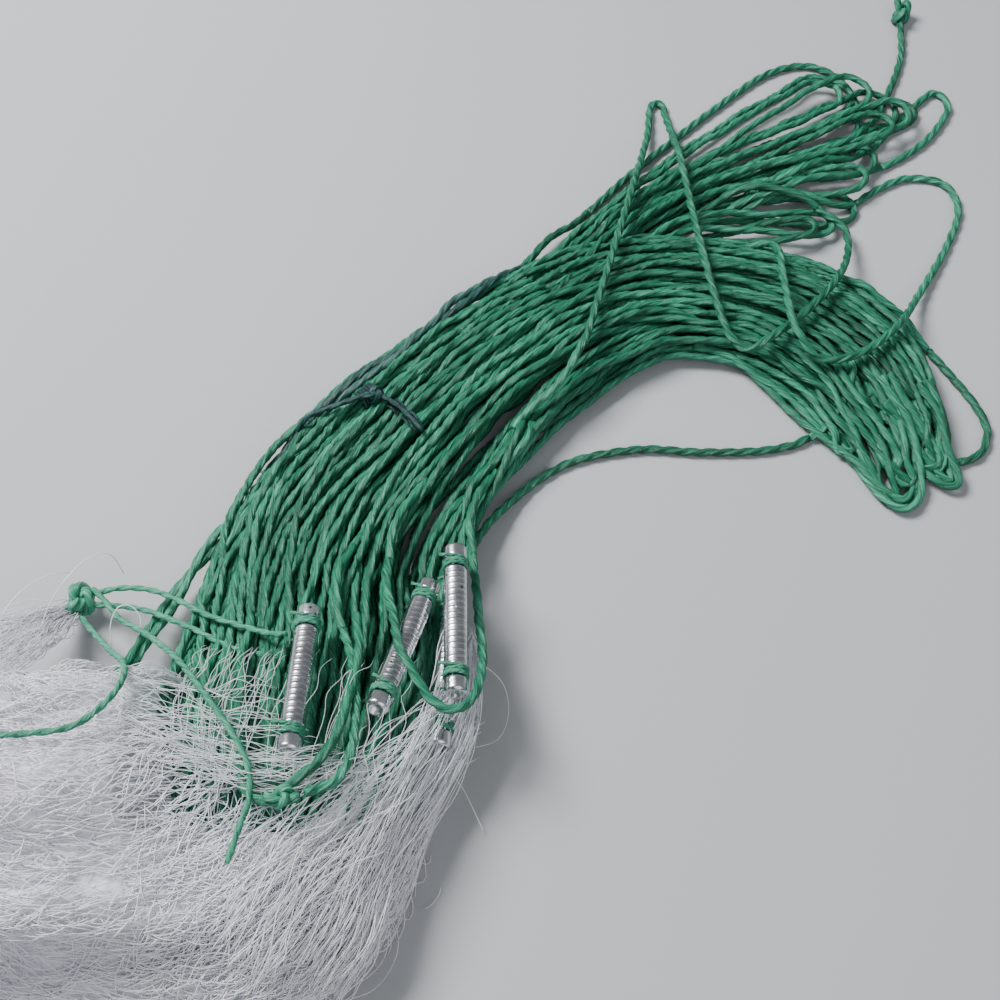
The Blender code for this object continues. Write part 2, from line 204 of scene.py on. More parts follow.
# ---- Loose ropes.
# Green polyethylene rope, 1.8 mm across, laid up from three plies of fine flat fibres with a
# turn every 12 mm. Each lies where it has slipped out of the hank.
ROPE_DIAMETER = 1.8 * MM
ROPE_LAY = 12.0 * MM
LOBE_REACH = 0.53  # from the middle of a rope or twine to a ply's top, in diameters
LOOSE_ROPES = {
    # x, y, z of each point on the way, in millimetres
    "loose_rope_stray": (
        (79.5, 60, 6.5), (83, 67, 4.5), (88, 74, 2), (94, 80, 1), (102, 84.5, 1), (115, 87, 1),
        (127, 86.3, 1), (139, 86.5, 1), (147, 88, 1), (151, 90, 1),
    ),
    "loose_rope_zigzag": (
        (103, 107, 12.2), (107, 121, 12.5), (111.5, 138, 11.4), (114.3, 149, 9.9),
        (116.5, 158, 8.4), (119, 169, 4.8), (121.5, 180.5, 2), (122.5, 189, 1.2), (123.1, 191.6, 1),
        (124.6, 192.9, 1), (126, 191.4, 1), (126.5, 187, 1.4), (127.3, 177, 4.4), (128, 166, 8.2),
        (129.5, 146, 9.6), (131, 128, 11.7), (133.5, 114, 10.8), (135.6, 109.4, 9.8),
        (138.6, 107.4, 9.4), (143.5, 110, 10.4), (152, 117, 10.9), (160, 127, 9.8), (165, 139, 5),
        (165.5, 148, 3.6), (160, 153.5, 4),
    ),
    "loose_rope_big_loop": (
        (148, 134, 10), (147.5, 121, 12.6), (148.5, 110.5, 12.9), (153.5, 104.5, 10),
        (162, 106, 9.6), (171.5, 114, 8.8), (180, 128, 2.6), (189.5, 144, 1), (194.5, 156, 1),
        (192.5, 164.5, 1), (184, 166.5, 1), (176.5, 163, 1), (170, 158, 1),
    ),
    "loose_rope_side_loop": (
        (180.5, 113.5, 1), (184, 107, 1), (188, 99, 1), (189.5, 92, 1), (187, 86, 1),
        (182, 83.5, 1),
    ),
    "loose_rope_crest": (
        (106, 155, 1.2), (116, 167, 1), (127.5, 179, 1), (140, 191.5, 1), (153, 203, 1),
        (163.5, 206.5, 1), (171.5, 202, 1), (175, 192, 1), (174, 183, 1), (170.5, 175.5, 1),
    ),
    "loose_rope_tip": (
        (177, 176.5, 1), (183, 184, 1), (190, 192, 1), (195.5, 196.5, 1), (198, 191, 1),
        (192, 181, 1), (185, 174.5, 1), (178, 170, 1),
    ),
    "loose_rope_end": (
        (179, 186.5, 1), (182, 193, 1), (186, 201.5, 1), (189, 210, 1), (190, 216, 1.2),
        (190.4, 221, 1.8), (190.9, 224.6, 2.6),
    ),
    "loose_rope_round_sinker": (
        (79.5, 56.5, 9.6), (80.5, 47, 11.5), (81, 40.3, 13), (81.8, 30.6, 16), (80.5, 22, 20),
        (77, 18.6, 21.4), (73, 20, 22.4), (69, 25.9, 24.2), (67, 30.1, 23.2), (65.3, 38.6, 19),
        (63.6, 46.4, 15), (63.5, 54.1, 11.6),
    ),
    "loose_rope_under_knot": (
        (55.8, 37.7, 14), (58.5, 28.7, 18), (60, 17.5, 22.4), (59.8, 9.7, 24.6), (57.7, 4, 25.6),
        (53, 1.4, 27.2),
    ),
}


def unit(ways):
    """The same ways, each one long."""
    return ways / np.linalg.norm(ways, axis=-1, keepdims=True)


def distance_along(lines):
    """How far along its line each point lies."""
    steps = np.linalg.norm(np.diff(lines, axis=-2), axis=-1)
    return np.concatenate([np.zeros((*steps.shape[:-1], 1)), np.cumsum(steps, axis=-1)], axis=-1)


def smooth_line(route, step):
    """A Catmull-Rom curve through a route's points, read at even steps."""
    points = np.array(route, dtype=float)
    padded = np.vstack([2 * points[0] - points[1], points, 2 * points[-1] - points[-2]])
    t = np.linspace(0, 1, 24, endpoint=False)[:, None, None]
    a, b, c, d = padded[:-3], padded[1:-2], padded[2:-1], padded[3:]
    fine = 0.5 * (2 * b + (c - a) * t + (2 * a - 5 * b + 4 * c - d) * t**2
                  + (3 * b - a - 3 * c + d) * t**3)
    fine = np.vstack([fine.transpose(1, 0, 2).reshape(-1, points.shape[1]), points[-1:]])
    along = distance_along(fine[:, :3])
    wanted = np.linspace(0, along[-1], max(4, round(along[-1] / step) + 1))
    return np.stack([np.interp(wanted, along, column) for column in fine.T], axis=1)


def add_piece(name, points, quads, triangles, finish, uv=None, tint=None):
    """A mesh piece from whole arrays: its places, faces, UV at each corner and tint at each vertex."""
    mesh = bpy.data.meshes.new(name)
    corners = np.concatenate([quads.ravel(), triangles.ravel()]).astype(np.int32)
    sizes = np.concatenate([np.full(len(quads), 4), np.full(len(triangles), 3)])
    starts = np.concatenate([[0], np.cumsum(sizes)[:-1]]).astype(np.int32)
    mesh.vertices.add(len(points))
    mesh.vertices.foreach_set("co", np.ascontiguousarray(points, dtype=np.float32).ravel())
    mesh.loops.add(len(corners))
    mesh.loops.foreach_set("vertex_index", corners)
    mesh.polygons.add(len(sizes))
    mesh.polygons.foreach_set("loop_start", starts)
    mesh.update(calc_edges=True)
    mesh.shade_smooth()
    if uv is not None:
        layer = mesh.uv_layers.new(name="lay")
        layer.uv.foreach_set("vector", np.ascontiguousarray(uv, dtype=np.float32).ravel())
    if tint is not None:
        layer = mesh.attributes.new("tint", "FLOAT", "POINT")
        layer.data.foreach_set("value", np.ascontiguousarray(tint, dtype=np.float32).ravel())
    mesh.materials.append(finish)
    piece = bpy.data.objects.new(name, mesh)
    bpy.context.scene.collection.objects.link(piece)
    return piece


def tube_faces(count, rings, sides):
    """The walls' quads, and the triangles that close both ends, of tubes that have equal rings.

    Their points are those of every ring in turn, then the middles of all starts, then of all ends.
    """
    index = np.arange(count * rings * sides).reshape(count, rings, sides)
    beside = np.roll(index, -1, axis=2)
    quads = np.stack([index[:, :-1], index[:, 1:], beside[:, 1:], beside[:, :-1]], axis=3)
    near = np.repeat(index.size + np.arange(count), sides).reshape(count, sides)
    start = np.stack([near, index[:, 0], beside[:, 0]], axis=2)
    end = np.stack([near + count, beside[:, -1], index[:, -1]], axis=2)
    return quads.reshape(-1, 4), np.concatenate([start, end]).reshape(-1, 3)


def laid_tubes(name, lines, radius, profile, turn, finish, tint, up=(0, 0, 1)):
    """Tubes along many lines of equal count, in one closed mesh.

    A ring's points lie at line + radius * reach * (side * cos + rise * sin) of their angle plus the
    ring's turn. Side is the line's course crossed with up, and rise is side crossed with the course.
    The profile gives the reach at even angles; UV runs in metres along and 0..1 round the profile.
    """
    lines = np.asarray(lines, dtype=float)
    count, rings, sides = len(lines), lines.shape[1], len(profile)
    course = unit(np.gradient(lines, axis=1))
    side = unit(np.cross(course, up))
    rise = np.cross(side, course)
    angle = np.arange(sides) * 2 * pi / sides + turn[..., None]
    reach = np.broadcast_to(radius, (count, rings))[..., None] * profile
    ring = (reach * np.cos(angle))[..., None] * side[:, :, None]
    ring += (reach * np.sin(angle))[..., None] * rise[:, :, None]
    walls = (lines[:, :, None] + ring).reshape(-1, 3)
    points = np.vstack([walls, lines[:, 0], lines[:, -1]])
    quads, triangles = tube_faces(count, rings, sides)

    along = np.broadcast_to(distance_along(lines)[..., None], (count, rings, sides))
    share = np.broadcast_to(np.arange(sides) / sides, (count, rings, sides))
    left = np.stack([along, share], axis=3)
    right = np.stack([along, share + 1 / sides], axis=3)
    uv = np.stack([left[:, :-1], left[:, 1:], right[:, 1:], right[:, :-1]], axis=3).reshape(-1, 2)
    caps = np.tile([[0.5, 0.0], [0.5, 0.0], [0.5, 0.1]], (len(triangles), 1))
    shade = np.concatenate([np.repeat(tint, rings * sides), tint, tint])
    return add_piece(name, points, quads, triangles, finish, np.vstack([uv, caps]), shade)


def ply_profile(plies, verts, depth):
    """The reach of a laid rope's outline: a rounded lobe for each ply, a groove between them."""
    angle = np.arange(plies * verts) * 2 * pi / (plies * verts)
    return 1 - depth * np.abs(np.cos(plies * angle / 2)) ** 3


def lay_turn(lines, lay, first=0.0):
    """How far each ring has turned: one whole turn in each length of lay along the line."""
    return distance_along(lines) * 2 * pi / lay + np.reshape(first, (-1, 1))


def fibre_finish(name, dark, mid, light, gloss, fibres):
    """Laid fibres: fine streaks along the plies, coloured from a painted shade through the mid tone to
    a painted highlight, and a tint per strand.
    """
    made, shader, start, place = blank_finish(name)
    lay, strand = start.lay(), start.tint()
    offset = {0: strand * 7.3, 1: strand * 3.1, 2: strand * 11.0}
    offset = start.node("ShaderNodeCombineXYZ", {}, offset)
    drawn = lay.stretched((160.0, fibres, 1.0))
    drawn = start.node("ShaderNodeVectorMath", {"operation": "ADD"}, {0: drawn, 1: offset})
    streak = drawn.noise(1.0, 3.0, 0.6)
    fine = drawn.stretched((1.7, 2.6, 1.0)).noise(1.0, 2.0, 0.6)
    slub = lay.stretched((70.0, 3.0, 1.0)).noise(1.0, 2.0)
    fade = place.noise(24.0, 2.0)
    # The dark stop is a painted shade and the light stop a painted highlight, spread along the fibre
    # streaks.
    depth = (streak * 0.75 + fine * 0.35 + slub * 0.2 + fade * 0.2 + strand * 0.14).spread(0.60, 1.05)
    stops = {"stops": [(0.0, dark), (0.5, mid), (1.0, light)]}
    shade = start.node("ShaderNodeValToRGB", stops, {0: depth})
    bump = (streak + fine * 0.5).bump(0.9, 0.0004)
    apply_to(shader, Base_Color=shade, Roughness=(1 - streak) * 0.3 + gloss, Normal=bump)
    apply_to(shader, Specular_IOR_Level=0.45)
    return made


green_rope = fibre_finish(
    "green_rope", (0.001, 0.038, 0.018), (0.010, 0.165, 0.088), (0.080, 0.45, 0.28), 0.24, 15.0
)
ROPE_PROFILE = ply_profile(3, 5, 0.36)


def declare_cord(piece, node):
    """Attach a piece to the root body, and hide its CAD tube."""
    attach(piece, "root")
    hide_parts(node)


def rope_piece(name, route, first, tint):
    """One laid rope along a route in millimetres: the piece and its middle line."""
    line = smooth_line(route, 1.0) * MM
    line[:, 2] = np.maximum(line[:, 2], ROPE_DIAMETER / 2)
    radius = ROPE_DIAMETER * LOBE_REACH
    turn = lay_turn(line[None], ROPE_LAY, first)
    piece = laid_tubes(name, line[None], radius, ROPE_PROFILE, turn, green_rope, np.array([tint]))
    return piece, line


# The rope's end is attached, and its CAD tube hidden, once its knot is made.
for number, (node, route) in enumerate(LOOSE_ROPES.items()):
    rope, line = rope_piece(f"{node}_laid", route, number * 1.3, (number * 0.37) % 1)
    if node == "loose_rope_end":
        end_rope, end_line = rope, line
    else:
        declare_cord(rope, node)


# ---- Knots.
# Each is an overhand knot worked tight in the rope or twine that it ends: one strand that
# passes through its own loop, drawn here as a three-lobed ring pressed to the knot's size.
KNOTS = (
    # name, x, y, z, half length, half width, half height, heading in degrees, strand's radius
    ("knot_left", 2.8, 48.8, 4.8, 3.9, 3.2, 2.8, 70, 1.25),
    ("knot_middle", 48.9, 0.6, 27.4, 2.8, 2, 1.7, 15, 0.8),
    ("knot_rope_end", 191, 225.7, 2.7, 4.2, 2.6, 2.6, 78, 0.95),
    ("knot_tie", 58.6, 94.2, 10.8, 2.4, 1.8, 1.5, 30, 0.7),
)
TREFOIL_REACH = (2.7, 2.7, 1.0)
light_twine = fibre_finish(
    "light_twine", (0.010, 0.130, 0.070), (0.045, 0.30, 0.18), (0.18, 0.55, 0.38), 0.24, 10.0
)
dark_twine = fibre_finish(
    "dark_twine", (0.000, 0.012, 0.012), (0.006, 0.045, 0.042), (0.05, 0.16, 0.15), 0.30, 12.0
)


def knot_piece(name, x, y, z, half_length, half_width, half_height, heading, radius, finish):
    """A trefoil: (sin t + 2 sin 2t, cos t - 2 cos 2t, -sin 3t), scaled to sit in the knot's size."""
    t = np.linspace(0.0, 2 * pi, 61)
    foil = [np.sin(t) + 2 * np.sin(2 * t), np.cos(t) - 2 * np.cos(2 * t), -np.sin(3 * t)]
    half_size = np.array([half_length, half_width, half_height])
    foil = np.stack(foil, axis=1) * ((half_size - radius) / TREFOIL_REACH)
    cos, sin = np.cos(radians(heading)), np.sin(radians(heading))
    flat = foil[:, :2] @ np.array([[cos, sin], [-sin, cos]])
    lines = (np.column_stack([flat, foil[:, 2]]) + (x, y, z))[None] * MM
    turn = lay_turn(lines, 8 * MM)
    profile, tint = ply_profile(3, 4, 0.35), np.array([0.6])
    piece = laid_tubes(f"{name}_worked", lines, radius * MM, profile, turn, finish, tint)
    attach(piece, "root")
    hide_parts(name)
    return piece


KNOT_LOOKS = {
    "knot_left": (light_twine, "green_twine"), "knot_middle": (light_twine, "green_twine"),
    "knot_rope_end": (green_rope, "green_rope"), "knot_tie": (dark_twine, "dark_twine"),
}
for name, *sizes in KNOTS:
    finish, slot = KNOT_LOOKS[name]
    knot_piece(name, *sizes, finish)
declare_cord(end_rope, "loose_rope_end")


# ---- Loose twines and the tie.
# Thin green lashing twine of two plies, which runs from the ropes down on to the netting, and
# the dark twine that ties the hank, knotted at its back edge.
TWINE_DIAMETER = 1.2 * MM
LASHING_DIAMETER = 0.72 * MM
LOOSE_TWINES = {
    # x, y, z of each point on the way, in millimetres
    "loose_twine_upper": (
        (46, 34.4, 19), (43, 35.6, 16.6), (38.6, 37.7, 14.5), (35.9, 39, 13.5), (29.6, 41.8, 12.2),
        (23.7, 45.6, 10.6), (17.4, 49, 8.6), (11, 50.5, 6.6), (6.2, 50, 5.6), (3.6, 49.4, 5.2),
    ),
    "loose_twine_lower": (
        (42.8, 32.5, 14), (38.5, 33.4, 13.4), (33.7, 35.3, 12.8), (27.6, 39, 11.6),
        (22.8, 41.8, 9.8), (18, 44.5, 8), (12.5, 46.7, 6), (6.8, 47.6, 5), (3.6, 47.8, 4.8),
    ),
    "loose_twine_tail": (
        (5.6, 50.2, 6.8), (8.4, 47.4, 7.2), (12, 43, 8.4), (18, 38.5, 11.4), (23, 33.5, 16),
        (28.5, 27, 22.5), (34, 19.4, 28), (39, 13, 28.8), (43, 6.5, 28.2), (44, 0.5, 27.8),
        (42.8, -4.7, 27.6), (41.3, -10.3, 26.8),
    ),
    "loose_twine_into_net": (
        (3.8, 44.6, 5.6), (8, 39.5, 9), (13, 33.5, 14), (18, 27.5, 22), (20.8, 21, 29.4),
        (20, 14.5, 34), (16, 9, 36.8), (9, 6.5, 39.6), (1, 5.2, 42), (-8, 4, 43.6),
    ),
}
TIE_ROUTE = (
    (40.8, 86.6, 1), (41.8, 88.4, 4.6), (45.2, 90.2, 8.8), (50.8, 91.8, 10.3), (54.9, 93.2, 11),
    (58.6, 94.2, 11.2), (61.4, 93, 11), (64.2, 90.6, 11.4), (66.6, 87.8, 11.6), (69, 84.6, 11.6),
)
TWINE_PROFILE = ply_profile(2, 6, 0.30)


def twine_piece(name, route, finish, diameter=TWINE_DIAMETER, lay=7 * MM, tint=0.5, up=(0, 0, 1)):
    """One two-ply twine along a route in millimetres: the piece and its middle line."""
    line = smooth_line(route, diameter / MM * 0.6) * MM
    turn, radius = lay_turn(line[None], lay), diameter * LOBE_REACH
    piece = laid_tubes(
        name, line[None], radius, TWINE_PROFILE, turn, finish, np.array([tint]), up
    )
    return piece, line


for node, route in LOOSE_TWINES.items():
    twine, line = twine_piece(f"{node}_laid", route, light_twine)
    declare_cord(twine, node)

tie, line = twine_piece("hank_tie_laid", TIE_ROUTE, dark_twine)
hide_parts("hank_tie_tail")
declare_cord(tie, "hank_tie")

# The tie's turns, drawn tight: six round the runs at the edge, and two bands of four that show
# between the runs on top.
TIE_COIL = (57.2, 95.5, 8.6)
TIE_COIL_LENGTH = 4.6
TIE_COIL_HALF_WIDTH = 2.1
TIE_COIL_HALF_HEIGHT = 1.9
TIE_COIL_TURNS = 6.2
TIE_BANDS = (
    # x, y, z of one end, x, y, z of the other, in millimetres
    ((61.8, 93.8, 9.2), (64.8, 90.3, 9.8)), ((65.2, 90.2, 10), (68, 86.2, 9.8)),
)


def tie_coil():
    """Six close turns: a flattened helix whose axis heads the way that the runs do."""
    t = np.linspace(0, 1, 150)[:, None]
    ahead = np.array([0.70, 0.71, 0.0])
    side = np.array([0.71, -0.70, 0.0])
    turn = 2 * pi * TIE_COIL_TURNS * t
    route = np.array(TIE_COIL) + (t - 0.5) * TIE_COIL_LENGTH * ahead
    route = route + TIE_COIL_HALF_WIDTH * np.cos(turn) * side
    route[:, 2] += TIE_COIL_HALF_HEIGHT * np.sin(turn[:, 0])
    coil, _ = twine_piece("hank_tie_turns", route, dark_twine, LASHING_DIAMETER, 4 * MM, 0.4, ahead)
    return coil


def tie_bands():
    """Four turns side by side in each band, bowed up in the middle and tucked in at both ends."""
    t = np.linspace(0, 1, 14)[:, None]
    lines = []
    for first, last in np.array(TIE_BANDS):
        way = unit(last - first)
        beside = np.array([-way[1], way[0], 0.0])
        for turn in range(4):
            line = first + (last - first) * t + beside * (turn - 1.5) * 0.78
            line[:, 2] += 1.1 * np.sin(pi * t[:, 0]) - 0.6
            lines.append(line)
    lines = np.array(lines) * MM
    tints = np.linspace(0.2, 0.8, len(lines))
    turn = lay_turn(lines, 4 * MM)
    return laid_tubes("hank_tie_bands", lines, 0.33 * MM, TWINE_PROFILE, turn, dark_twine, tints)


for piece in (tie_coil(), tie_bands()):
    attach(piece, "root")
    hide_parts("knot_tie")


# ---- The hank of rope.
# The net's head and foot ropes, laid up back and forth in one hank and bent round in an arc.
# Its runs are joined in pairs by bights; an upper set leaves the arc as a spray of open bights.
HANK_SECTIONS = (
    # x, y, width, thickness, lift, in millimetres, and the fall of its right half per millimetre
    (46, -6, 26, 5, 12, 0.30), (49, 8, 44, 5.5, 14.5, 0.45),
    (50.5, 24, 56, 6, 11, 0.30), (51.5, 38, 60, 6.5, 6.5, 0.08),
    (53, 56, 53, 7.5, 2, 0), (58, 70, 45, 9, 0.3, 0),
    (66.7, 83.7, 41, 10, 0, 0), (78.6, 98.8, 40, 10.5, 0, 0),
    (95, 114.7, 39, 10.5, 0, 0), (109, 123.5, 37, 10.5, 0, 0),
    (122, 127, 34, 10, 0, 0), (139, 125, 34, 9.5, 0, 0),
    (151.5, 119, 36, 9, 0, 0), (161.5, 108.5, 35, 8, 0, 0),
    (166.5, 97.3, 31, 7, 0, 0), (169.5, 86.5, 23, 5.5, 0, 0),
    (170, 79, 15, 4, 0, 0),
)
BRANCH_SECTIONS = (
    # x, y, width, thickness, lift, in millimetres
    (97, 123, 20, 8.5, 0), (108, 138, 20, 8, 0), (123, 153, 21, 7, 0),
    (139, 163, 19, 6.5, 0), (153, 172, 17, 5.5, 0),
)
BRANCH_TIPS = (
    # x, y, z of each open bight's tip, its width, and how far along the branch it opens
    (172.5, 199, 1.2, 15, 0.42), (169.5, 196.5, 3, 10, 0.50), (176.5, 196, 4.6, 12, 0.55),
    (183.5, 192, 2.2, 12.5, 0.60), (186, 187, 4.8, 9.5, 0.66), (188.5, 191.5, 1, 9, 0.62),
    (180.5, 181.5, 6, 8.5, 0.62), (176, 172.5, 2.6, 9, 0.66), (173, 165, 4, 8, 0.60),
    (169.5, 157, 1, 9, 0.52), (163.5, 151, 2.4, 7, 0.44), (158.5, 148.5, 4.4, 6, 0.36),
)
LOWER_PAIRS = 30
UPPER_PAIRS = len(BRANCH_TIPS)
STATIONS = 66
FORK = 0.59
ROPE_PITCH = 1.74
PACKING_ROUNDS = 70
PUSH_SHARE = 0.42
HOME_PULL = 0.006


def section_frames(sections, count):
    """A hank's sections at even steps: middle, direction to its left, and their other columns."""
    rows = np.array([(x, y, 0, *others) for x, y, *others in sections], float)
    fine = smooth_line(rows, 0.2)
    rows = fine[np.linspace(0, len(fine) - 1, count).round().astype(int)]
    course = unit(np.gradient(rows[:, :2], axis=0))
    left = np.column_stack([-course[:, 1], course[:, 0]])
    return rows[:, :2], left, rows[:, 3:]


def wander(rng, count, stations, reach, waves):
    """Slow drift along each strand: a sum of a few sine waves of random phase, within reach."""
    t = np.linspace(0, 1, stations)
    phase = rng.uniform(0, 2 * pi, (count, waves, 1))
    order = np.arange(1, waves + 1)[None, :, None]
    rate = rng.uniform(0.6, 1.6, (count, waves, 1)) * order
    return (np.sin(2 * pi * rate * t + phase) / order).sum(axis=1) * reach


def hold_inside(place, width, thick):
    """Keep strands within the section: above its flat base and under its round back."""
    half = width / 2 - ROPE_PITCH / 2
    across = np.clip(place[..., 0], -half, half)
    edge = np.sqrt(1 - np.minimum(np.abs(across) / (width / 2), 0.999) ** 2.5)
    top = thick * (edge + 0.7) / 1.7 - ROPE_PITCH / 2
    base = thick * np.clip(0.7 - edge, 0, None) / 1.7 + ROPE_PITCH / 2
    return np.stack([across, np.clip(place[..., 1], base, np.maximum(top, base))], axis=-1)


def packed_strands():
    """Where every strand lies in each section, in millimetres across and up.

    From seeded places with a slow drift, strands closer than a rope's pitch are pushed apart, eased
    along their length and held inside the section, over and over. The upper set shares the hank's
    sections as far as the fork, and follows the branch's own after it.
    """
    rng = np.random.default_rng(23)
    lower, upper = 2 * LOWER_PAIRS, 2 * UPPER_PAIRS
    middle, left, size = section_frames(HANK_SECTIONS, STATIONS)
    fork = round(FORK * STATIONS)
    branch, branch_left, branch_size = section_frames(BRANCH_SECTIONS, STATIONS - fork)
    shift = np.sum((branch[0] - middle[fork]) * left[fork])
    to_fork = (np.arange(fork), [0, fork / 2, fork])
    width = np.broadcast_to(size[:, 0], (lower + upper, STATIONS)).copy()
    thick = np.broadcast_to(size[:, 1], (lower + upper, STATIONS)).copy()
    width[lower:, :fork] = np.interp(*to_fork, [26.0, 30.0, branch_size[0, 0]])
    width[lower:, fork:] = branch_size[:, 0]
    thick[lower:, fork:] = branch_size[:, 1]
    seed = [rng.uniform(-0.95, 0.95, (lower + upper, 1)), rng.uniform(0, 1, (lower + upper, 1))]
    drift = wander(rng, lower + upper, STATIONS, 0.13, 5)
    rise = wander(rng, lower + upper, STATIONS, 0.26, 5)
    place = np.stack([(seed[0] + drift) * width / 2, (seed[1] + rise) * thick], axis=-1)
    home = place.copy()
    offset = np.zeros((lower + upper, STATIONS))
    offset[lower:, :fork] = np.interp(*to_fork, [6.0, 12.0, shift])
    group = np.arange(lower + upper) >= lower
    apart = (group[:, None] != group[None])[..., None] & (np.arange(STATIONS) >= fork)
    same = np.eye(lower + upper, dtype=bool)[..., None]
    for _ in range(PACKING_ROUNDS):
        spot = place.copy()
        spot[..., 0] += offset
        gap = spot[:, None] - spot[None]
        reach = np.linalg.norm(gap, axis=-1) + 1e-6
        push = np.clip(ROPE_PITCH - reach, 0, None) / reach * PUSH_SHARE
        push = np.where(apart | same, 0, push)
        place = place + (gap * push[..., None]).sum(axis=1)
        place[:, 1:-1] = 0.5 * place[:, 1:-1] + 0.25 * (place[:, :-2] + place[:, 2:])
        place += (home - place) * HOME_PULL
        place = hold_inside(place, width, thick)
    across = place[..., 0] + offset
    course = np.empty((lower + upper, STATIONS, 3))
    course[..., :2] = middle + across[..., None] * left
    course[..., 2] = place[..., 1] + size[:, 2] + size[:, 3] * np.minimum(across, 0)
    course[lower:, fork:, :2] = branch + place[lower:, fork:, :1] * branch_left
    course[lower:, fork:, 2] = place[lower:, fork:, 1]
    return course[:lower], course[lower:]


def even_line(points, rings):
    """A smooth line through points, read at an equal number of even steps."""
    fine = smooth_line(points, 0.4)
    spot = np.linspace(0, len(fine) - 1, rings)
    return np.stack([np.interp(spot, np.arange(len(fine)), column) for column in fine.T], axis=1)


def eased(start, start_way, end, end_way, count):
    """Points on the cubic curve that leaves one place and reaches another along the given ways."""
    t = np.linspace(0, 1, count)[:, None]
    bow = np.linalg.norm(end - start) * t * (1 - t)
    return (start * (1 + 2 * t) * (1 - t) ** 2 + end * (3 - 2 * t) * t**2
            + bow * ((1 - t) * start_way - t * end_way))


def bight(first, second, tip, width):
    """The points of an open loop from one run's end to the other's.

    A half circle of the given width turns back at the tip, and an eased stretch leads each run to it.
    """
    ends = np.stack([first[-1], second[-1]])
    ways = unit(ends - np.stack([first[-4], second[-4]]))
    aim = unit(tip - ends.mean(axis=0))
    wide = np.array([-aim[1], aim[0], 0.0])
    hand = np.sign(np.dot(ends[0] - ends[1], wide)) or 1.0
    arc = np.linspace(0.5 * pi, -0.5 * pi, 9)[:, None]
    turn = tip + (np.sin(arc) * hand * wide + (np.cos(arc) - 1) * aim) * width / 2
    out = eased(ends[0], ways[0], turn[0], aim, 8)[1:-1]
    back = eased(ends[1], ways[1], turn[-1], aim, 8)[1:-1]
    return np.vstack([out, turn, back[::-1]])


def neighbours(course, station):
    """Pair strands that lie side by side at a station: the sorted order, two by two."""
    order = np.argsort(course[:, station, 0] * 0.5 - course[:, station, 1] * 0.87)
    return order.reshape(-1, 2)


def lower_lines(course, rings):
    """The main arc's pairs of runs. Low middle pairs turn back first, top and edge ones at the tip."""
    rng = np.random.default_rng(5)
    pairs = neighbours(course, STATIONS - 12)
    height = course[pairs, STATIONS - 10, 2].mean(axis=1)
    edge = np.abs(np.linspace(-1, 1, len(pairs)))
    score = np.argsort(np.argsort(height)) / len(pairs) + 0.55 * edge
    rank = np.argsort(np.argsort(score))
    ends = np.array([0.885, 0.92, 0.95, 0.98, 1.0]) * STATIONS
    leave = np.interp(rank, [0, 7, 14, 21, 29], ends) + rng.uniform(-1.2, 0.8, len(pairs))
    lines = []
    for (one, two), stop in zip(pairs, np.clip(leave, 40, STATIONS).astype(int)):
        first, second = course[one, :stop], course[two, :stop]
        apart = np.linalg.norm(first[-1] - second[-1])
        width = np.clip(apart * 1.2, 3.6, 7.5)
        ahead = first[-1] - first[-4] + second[-1] - second[-4]
        tip = (first[-1] + second[-1]) / 2 + unit(ahead) * (width * 0.5 + 3.5)
        tip[2] = max(ROPE_DIAMETER / MM / 2, tip[2] - 0.8)
        turn = bight(first, second, tip, width)
        lines.append(even_line(np.vstack([first, turn, second[::-1]]), rings))
    return np.array(lines) * MM


def upper_lines(course, rings):
    """The branch's pairs of runs, each opening into a wide bight towards its own tip."""
    fork = round(FORK * STATIONS)
    pairs = neighbours(course, fork + 8)
    lines = []
    for (one, two), (x, y, z, width, opens) in zip(pairs, BRANCH_TIPS):
        stop = fork + round(opens * (STATIONS - fork))
        first, second = course[one, :stop], course[two, :stop]
        turn = bight(first, second, np.array([x, y, z]), width)
        lines.append(even_line(np.vstack([first, turn, second[::-1]]), rings))
    return np.array(lines) * MM


lower_course, upper_course = packed_strands()
HANK_PROFILE = ply_profile(3, 3, 0.32)


def hank_piece(name, lines, seed, finish=green_rope):
    """A set of runs, or of paired runs, as one piece of laid rope."""
    rng = np.random.default_rng(seed)
    along = distance_along(lines)
    for axis, reach in enumerate((0.26, 0.26, 0.16)):
        wave = rng.uniform(11, 26, (len(lines), 1)) * MM
        phase = rng.uniform(0, 6, (len(lines), 1))
        lines[..., axis] += np.sin(2 * pi * along / wave + phase) * reach * MM
    lines[..., 2] = np.maximum(lines[..., 2], ROPE_DIAMETER / 2)
    lay = ROPE_LAY * rng.uniform(1.05, 1.55, (len(lines), 1))
    turn = lay_turn(lines, lay, rng.uniform(0, 2 * pi, len(lines)))
    tint = rng.uniform(0, 1, len(lines))
    radius = ROPE_DIAMETER * LOBE_REACH
    piece = laid_tubes(name, lines, radius, HANK_PROFILE, turn, finish, tint)
    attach(piece, "root")
    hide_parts("rope_hank")
    return piece


hank_piece("hank_main_runs", lower_lines(lower_course, 300), 31)
hank_piece("hank_upper_runs", upper_lines(upper_course, 300), 37)

